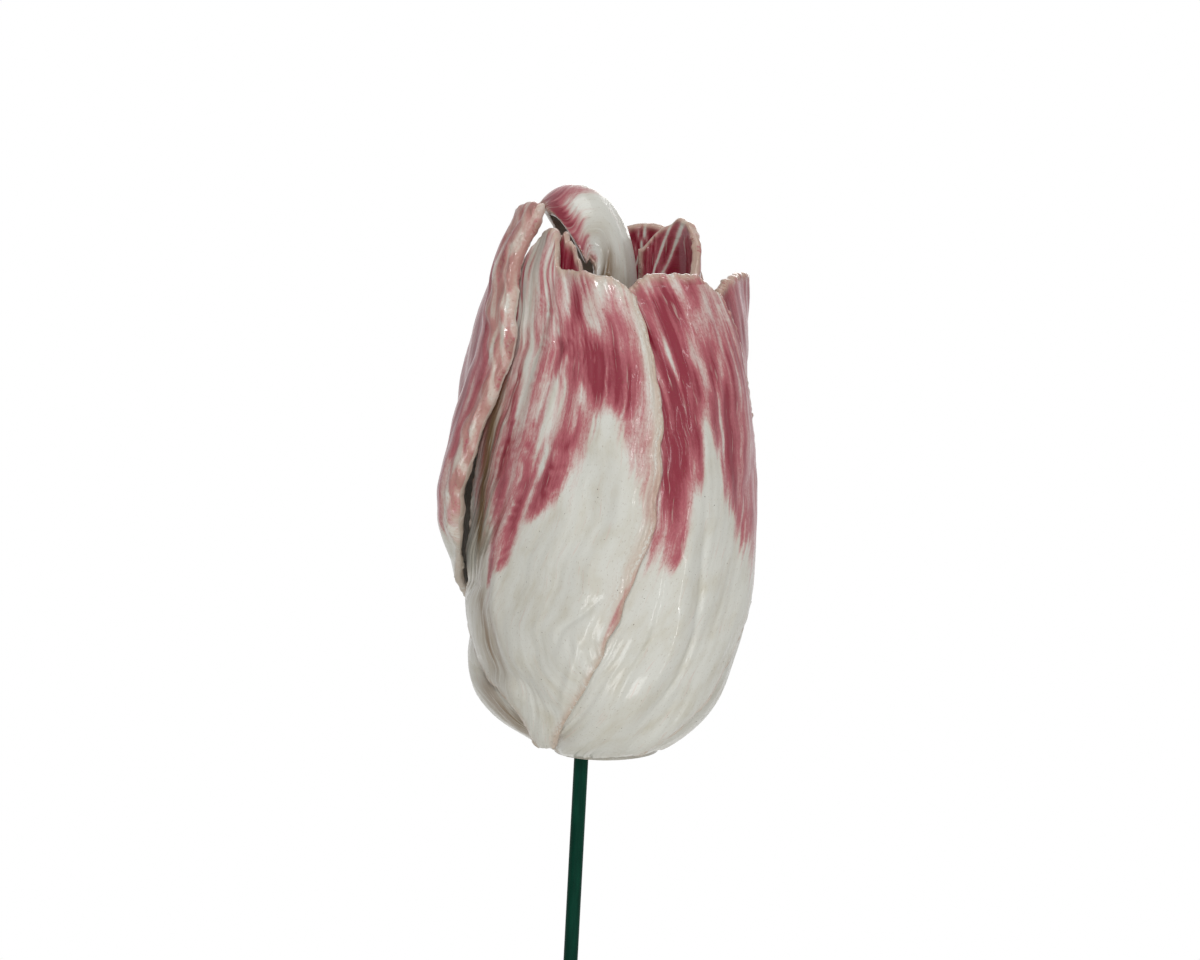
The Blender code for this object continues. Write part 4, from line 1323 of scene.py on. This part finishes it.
@dataclass
class FlowerHead:
    """The whole flower: five outer petals, three inner ones, the lump of clay and its socket."""

    glaze: Finish
    clay: Finish

    def outer_petals(self) -> list[ClayPetal]:
        """The petals that close the cup, with their seams, outlines and brushwork."""
        glaze = self.glaze
        return [
            FrontPetal(
                "petal_front", glaze, 11, left=LEFT_FRONT, right=FRONT_RIGHT, turn=-FULL_TURN, top=96.3,
                outline=((0.0, -3.8), (0.2, -1.4), (0.4, 0.0), (0.8, 0.0), (0.92, -1.2), (1.0, -3.8)),
                strokes=FRONT_STROKES, wash_down_to=FRONT_WASH, wash=0.34, creases=FRONT_CREASES,
                base=4.6, brush_slant=0.32, stains_and_shade=FRONT_STAINS_AND_SHADE,
                edge_shift=((4.0, 6.0), (7.5, 3.0), (11.0, 0.0), (14.0, 0.0), (60.0, 0.0), (110.0, 0.0)),
            ),
            OuterPetal(
                "petal_right", glaze, 12, left=FRONT_RIGHT, right=RIGHT_FAR, top=96.2,
                outline=((0.0, -6.0), (0.2, -2.8), (0.35, -0.4), (0.6, 0.0), (0.8, -0.6), (1.0, -4.5)),
                strokes=RIGHT_STROKES, wash_down_to=RIGHT_WASH, wash=0.56, creases=RIGHT_CREASES,
            ),
            OuterPetal(
                "petal_far_right", glaze, 13, left=RIGHT_FAR, right=FAR_BACK, top=95.0,
                outline=((0.0, -8.0), (0.35, -1.0), (0.6, 0.0), (0.8, -1.0), (1.0, -6.0)),
                wash_down_to=((60.0, 40.0), (80.0, 30.0), (105.0, 40.0), (130.0, 46.0)), wash=0.68,
            ),
            OuterPetal(
                "petal_back", glaze, 14, left=FAR_BACK, right=BACK_LEFT, top=102.5,
                outline=((0.0, -15.0), (0.3, -11.0), (0.45, -2.0), (0.58, 0.0), (0.75, -3.0), (1.0, -14.0)),
                wash_down_to=((120.0, 44.0), (150.0, 60.0), (180.0, 50.0), (215.0, 42.0)), wash=0.55,
                rim_mm=0.9, inner_streaks=0.5,
            ),
            LeftPetal(
                "petal_left", glaze, 15, left=BACK_LEFT, right=LEFT_FRONT, top=109.5,
                outline=(
                    (0.0, -25.0), (0.3, -17.6), (0.53, -11.0), (0.67, -7.6), (0.82, -3.6), (0.92, -0.6),
                    (1.0, -0.9),
                ),
                wash_down_to=((200.0, 46.0), (235.0, 58.0), (265.0, 46.0), (320.0, 40.0)), wash=0.66,
                strokes=LEFT_STROKES, stains_and_shade=LEFT_STAINS,
            ),
        ]

    def inner_petals(self) -> list[ClayPetal]:
        """The three petals that stand inside the cup."""
        glaze = self.glaze
        return [
            HoodPetal(
                "petal_hood", glaze, 16, slot="cream_glaze", radius=10.8, face_azimuth=105.0,
                seat_azimuth=245.0, reach=6.3, wash=0.0, strokes=HOOD_STROKES, inner_rose=0.12,
                # The hood's inner face gets strong painted shade deep in the gutter
                inner_painted_shade=0.9, stains_and_shade=HOOD_STAINS, creases=HOOD_CREASES, tooling=0.3,
            ),
            BackRightPetal(
                "petal_back_right", glaze, 17, inner_streaks=0.25, rim_mm=0.8, brush_slant=-0.4,
                inner_bare=BACK_RIGHT_BARE,
            ),
            InnerRaggedPetal(
                "petal_inner_ragged", glaze, 18, rows=150, columns=60, wash=0.8,
                wash_down_to=((0.0, 60.0), (100.0, 60.0)),
            ),
        ]

    def build(self) -> None:
        """Builds every petal, then the lump and its boss."""
        for petal in self.outer_petals() + self.inner_petals():
            petal.build()
        ClayLump(self.glaze, self.clay).build()


def turned(profile: Grid, sides: int) -> tuple[Grid, list]:
    """A profile of (radius, height) pairs turned about the upright axis.

    Args:
        profile: (n, 2) pairs that start and end on the axis, or close on themselves.
        sides: Steps round the axis.

    Returns:
        Points, and faces that are quads, or triangles at a pole.
    """
    radius, height = profile.T
    angle = np.linspace(0.0, 2 * math.pi, sides, endpoint=False)
    level = np.broadcast_to(height[:, None], (len(radius), sides))
    ring = np.stack([radius[:, None] * np.cos(angle), radius[:, None] * np.sin(angle), level], axis=-1)
    index = np.arange(len(radius) * sides).reshape(len(radius), sides)
    index = np.where(radius[:, None] < 1e-9, index[:, :1], index)
    around = np.roll(index, -1, axis=1)
    quads = np.stack([index[:-1], around[:-1], around[1:], index[1:]], axis=-1).reshape(-1, 4)
    faces = [list(dict.fromkeys(q)) for q in quads.tolist()]
    used = np.unique(np.concatenate([np.array(f) for f in faces]))
    renumber = np.full(len(radius) * sides, -1)
    renumber[used] = np.arange(len(used))
    return ring.reshape(-1, 3)[used], [renumber[f].tolist() for f in faces]


def bare_mesh(name: str, points: Grid, faces: list) -> Thing:
    """A mesh object that isn't a piece, from (n, 3) points and the corner indices of each face."""
    mesh = bpy.data.meshes.new(name)
    mesh.from_pydata(points.tolist(), [], faces)
    return add_object(name, mesh)


@dataclass
class ClayLump:
    """The lump that the petals are luted on, and the boss round its blind socket. Lengths in mm."""

    glaze: Finish
    clay: Finish
    sides: int = 144
    boss_sides: int = 96
    socket_sides: int = 48
    socket_radius: float = 1.6
    socket_depth: float = 32.3
    socket_below: float = 4.0
    boss_radius: float = 5.0
    boss_roof: float = 3.0
    boss_edge: float = 1.2
    button_margin: float = 0.3
    uneven_radius: float = 20.0
    uneven_above: float = 15.0
    stain_and_shade: float = 0.25

    def bored(self, name: str, points: Grid, faces: list) -> tuple[Grid, list]:
        """Cuts the socket for the rod out of a closed form with a Boolean.

        Args:
            name: The form's name.
            points: Its points in the row frame, mm.
            faces: Its faces.

        Returns:
            The points and faces of what is left.
        """
        low, high = POSE.rod_length - self.socket_below, POSE.rod_length + self.socket_depth
        profile = np.array([(0.0, low), (self.socket_radius, low), (self.socket_radius, high), (0.0, high)])
        form, drill = bare_mesh(name, points, faces), bare_mesh("drill", *turned(profile, self.socket_sides))
        cut = form.modifiers.new("socket", "BOOLEAN")
        cut.operation, cut.solver, cut.object = "DIFFERENCE", "EXACT", drill
        done = form.evaluated_get(bpy.context.evaluated_depsgraph_get()).to_mesh()
        left = np.zeros(len(done.vertices) * 3, np.float32)
        done.vertices.foreach_get("co", left)
        corners = [list(f.vertices) for f in done.polygons]
        for made in (form, drill):
            bpy.data.objects.remove(made, do_unlink=True)
        return left.reshape(-1, 3).astype(float), corners

    def piece(self, name: str, points: Grid, faces: list, finish: Finish, slot: str) -> None:
        """Places a form of the flower's frame, bores it and makes it a piece."""
        placed, corners = self.bored(name, POSE.place(points) / MM, faces)
        angle = np.arctan2(placed[:, 0], placed[:, 1]) * FORM.belly_radius
        none = np.zeros(len(placed))
        lay = np.stack([angle, placed[:, 2], none + LUMP_DEPTH], axis=-1)
        attributes = {"lay": lay, "rose": none, "rim": none, "stain_and_shade": none + self.stain_and_shade}
        make_piece(f"clay_{name}", placed * MM, corners, attributes, finish, "flower_head", name)

    def lump(self) -> tuple[Grid, list]:
        """Follows the petals' inner faces down to a button, with an uneven flat top."""
        heights = np.linspace(PETAL_BASE, CORE_HEIGHT, 40)
        side = FORM.point(0.0, heights, np.full(len(heights), LAYERS.core_offset))
        foot = FORM.point(0.0, np.asarray(PETAL_BASE), np.asarray(0.5 * LAYERS.thickness))
        lowest = FORM.base_raise - LAYERS.thickness / 2
        share = np.linspace(0.0, 1.0, 24)
        edge, rise = (float(d) - self.button_margin for d in (np.hypot(foot[0], foot[1]), foot[2]))
        button = np.stack([edge * share, lowest + (rise - lowest) * share**2], axis=-1)
        wall = np.stack([np.hypot(side[:, 0], side[:, 1]), side[:, 2]], axis=-1)
        points, faces = turned(np.concatenate([button, wall, [[0.0, wall[-1, 1]]]]), self.sides)
        angle = np.arctan2(points[:, 0], points[:, 1]) * self.uneven_radius
        uneven = LUMP_TOP.on(angle, np.hypot(points[:, 0], points[:, 1]))
        points[:, 2] += uneven * (points[:, 2] > self.uneven_above)
        return points, faces

    def boss(self) -> tuple[Grid, list]:
        """A round-topped post on the lump, about the rod's line."""
        base, top = core_top() + LAYERS.seat_gap, self.socket_depth + self.boss_roof
        turn = np.linspace(math.pi / 2, 0.0, 12)
        shoulder = top - self.boss_edge
        rounding = self.boss_edge * np.stack([np.sin(turn), np.cos(turn)], axis=-1)
        arc = rounding + [self.boss_radius - self.boss_edge, shoulder]
        rows = np.linspace(base, shoulder, 24)[:-1]
        post = np.stack([np.full(len(rows), self.boss_radius), rows], axis=-1)
        points, faces = turned(np.concatenate([[[0.0, base]], post, arc, [[0.0, top]]]), self.boss_sides)
        lean, middle = math.radians(POSE.lean_degrees), (base + top) / 2
        points[:, 0] += -POSE.rod_offset * math.cos(lean) + middle * math.sin(lean)
        return points, faces

    def build(self) -> None:
        """Makes both pieces."""
        self.piece("flower_core", *self.lump(), self.glaze, "cream_glaze")
        self.piece("socket_boss", *self.boss(), self.clay, "bare_clay")


@dataclass
class Rod:
    """The steel wire and its extruded green coating. Lengths in mm."""

    steel: Finish
    coating: Finish
    length: float = 302.0
    wire_radius: float = 0.95
    bore_radius: float = 1.0
    outer_radius: float = 1.4
    corner: float = 0.12
    sides: int = 64

    def piece(self, name: str, profile: list, finish: Finish, slot: str) -> None:
        """Turns a profile and lays the material's marks on it."""
        points, faces = turned(np.array(profile, float), self.sides)
        angle = np.arctan2(points[:, 1], points[:, 0]) * self.outer_radius
        lay = np.stack([angle, points[:, 2], np.zeros(len(points))], axis=-1)
        make_piece(f"rod_{name}", points * MM, faces, {"lay": lay}, finish, "stem", name)

    def build(self) -> None:
        """A wire with chamfered cut ends inside a tube with rounded cut ends."""
        r, c, top = self.wire_radius, self.corner, self.length
        self.piece("stem_wire", [
            (0, 0), (r - c, 0), (r, c), *((r, z) for z in np.linspace(5, top - 5, 40)),
            (r, top - c), (r - c, top), (0, top),
        ], self.steel, "wire")
        inner, outer, cut = self.bore_radius, self.outer_radius, 0.3 * c
        self.piece("stem_coating", [
            (inner, c), (inner + c, 0), (outer - c, 0), (outer - cut, cut), (outer, c),
            *((outer, z) for z in np.linspace(3, top - 3, 60)),
            (outer, top - c), (outer - cut, top - cut), (outer - c, top),
            (inner + c, top), (inner, top - c), (inner, c),
        ], self.coating, "coating")


# Area lamps: name, place from the flower's middle in m, width and height in m, and power in W
LAMPS = (
    ("key_front", (-0.05, -0.92, 0.4), (0.16, 0.16), 2.9),
    ("strip_right", (0.68, -0.74, 0.0), (0.05, 0.8), 1.1),
    ("low_strip", (0.58, -0.66, -0.5), (0.05, 0.5), 0.7),
    ("low_bounce", (-0.1, -0.82, -0.5), (0.3, 0.3), 1.6),
    ("top_soft", (0.1, -0.15, 1.0), (0.5, 0.5), 2.6),
    ("back_soft", (0.2, 0.95, 0.35), (0.6, 0.6), 3.2),
)


@dataclass
class Studio:
    """Pale floor, soft lamps, white surroundings and the camera of the picture. Lengths in mm."""

    pixels_per_mm: float = 5.18
    frame_pixels: tuple[int, int] = (1200, 960)
    sensor_mm: float = 36.0
    distance: float = 750.0
    elevation: float = 8.0
    aim: tuple[float, float, float] = (-1.16, 0.0, 54.44)
    floor_radius: float = 520.0
    floor_below: float = 0.2
    floor_fades: tuple[float, float] = (0.4, 0.97)
    floor_sides: int = 96
    shade_strength: float = 0.27
    shade_colour: str = "#FFF6E8"

    def camera(self) -> None:
        """The camera looks down 8 degrees at the flower and rolls with its lean."""
        data = bpy.data.cameras.new("picture_camera")
        data.sensor_width = self.sensor_mm
        data.lens = self.pixels_per_mm * self.distance * self.sensor_mm / self.frame_pixels[0]
        data.clip_start = 0.01
        camera = add_object("picture_camera", data)
        tilt = math.radians(self.elevation)
        right = Vector((1, 0, 0))
        up = Vector((0, math.sin(tilt), math.cos(tilt)))
        back = right.cross(up)
        place = Vector(self.aim) + back * self.distance
        local = Matrix((right, up, back)).transposed().to_4x4()
        local.translation = place
        world = POSE.matrix() @ local
        world.translation = world.translation * MM
        camera.matrix_world = world
        bpy.context.scene.camera = camera

    def lamp(self, name: str, place: tuple[float, ...], size: tuple[float, float], power: float) -> None:
        """An area lamp, turned to the flower's middle."""
        data = bpy.data.lights.new(name, "AREA")
        data.shape = "RECTANGLE"
        data.size, data.size_y = size
        data.energy = power
        lamp = add_object(name, data)
        middle = Vector((0.0, 0.0, (POSE.rod_length + FORM.belly_height) * MM))
        lamp.location = middle + Vector(place)
        lamp.rotation_euler = (-Vector(place)).to_track_quat("-Z", "Y").to_euler()

    def world(self) -> None:
        """White to the camera and in reflections, a soft and slightly warm light otherwise."""
        world = bpy.data.worlds.new("white_room")
        world.use_nodes = True
        tree = world.node_tree
        tree.nodes.clear()
        path = add_node(tree, "ShaderNodeLightPath")
        seen = path.outputs["Is Camera Ray"]
        for kind in ("Is Glossy Ray", "Is Transmission Ray"):
            either = {0: seen, 1: path.outputs[kind]}
            seen = add_node(tree, "ShaderNodeMath", either, operation="MAXIMUM").outputs[0]
        strength = add_node(tree, "ShaderNodeMapRange", {"Value": seen, "To Min": self.shade_strength})
        colour = add_node(tree, "ShaderNodeMix", {
            0: seen, 6: linear(self.shade_colour), 7: (1.0, 1.0, 1.0, 1.0),
        }, data_type="RGBA").outputs[2]
        light = add_node(tree, "ShaderNodeBackground", {
            "Color": colour, "Strength": strength.outputs["Result"],
        })
        add_node(tree, "ShaderNodeOutputWorld", {"Surface": light.outputs["Background"]})
        bpy.context.scene.world = world

    def floor(self) -> None:
        """A pale round floor that fades out at its edge."""
        made, tree, shader = new_material("pale_floor_paper")
        shader.inputs["Base Color"].default_value = linear("#EFEFEC")
        shader.inputs["Roughness"].default_value = 0.9
        place = add_node(tree, "ShaderNodeTexCoord").outputs["Object"]
        far = add_node(tree, "ShaderNodeVectorMath", {0: place}, operation="LENGTH").outputs["Value"]
        fades_from, fades_to = self.floor_fades
        fade = add_node(tree, "ShaderNodeMapRange", {
            "Value": far, "From Min": fades_from * self.floor_radius * MM,
            "From Max": fades_to * self.floor_radius * MM,
        }, interpolation_type="SMOOTHSTEP").outputs["Result"]
        clear = add_node(tree, "ShaderNodeBsdfTransparent")
        mixed = add_node(tree, "ShaderNodeMixShader", {
            0: fade, 1: shader.outputs["BSDF"], 2: clear.outputs["BSDF"],
        })
        tree.links.new(mixed.outputs["Shader"], tree.nodes["Material Output"].inputs["Surface"])
        turn = np.linspace(0.0, 2 * math.pi, self.floor_sides, endpoint=False)
        rim = np.stack([np.cos(turn), np.sin(turn), 0 * turn], axis=-1) * self.floor_radius * MM
        below = np.array([0.0, 0.0, self.floor_below * MM])
        floor = bare_mesh("floor", rim - below, [list(range(self.floor_sides))])
        floor.data.materials.append(made)

    def build(self) -> None:
        """Sets up the picture."""
        self.camera()
        self.world()
        self.floor()
        for lamp in LAMPS:
            self.lamp(*lamp)


def main() -> None:
    """Builds the pieces in order."""
    logging.basicConfig(level=logging.INFO, format="%(name)s %(message)s")
    bpy.context.scene.view_settings.view_transform = "Standard"
    Studio().build()
    FlowerHead(BrushedGlaze().build(), FIRED_CLAY.build()).build()
    Rod(DRAWN_STEEL.build(), EXTRUDED_COATING.build()).build()


if __name__ == "__main__":
    main()
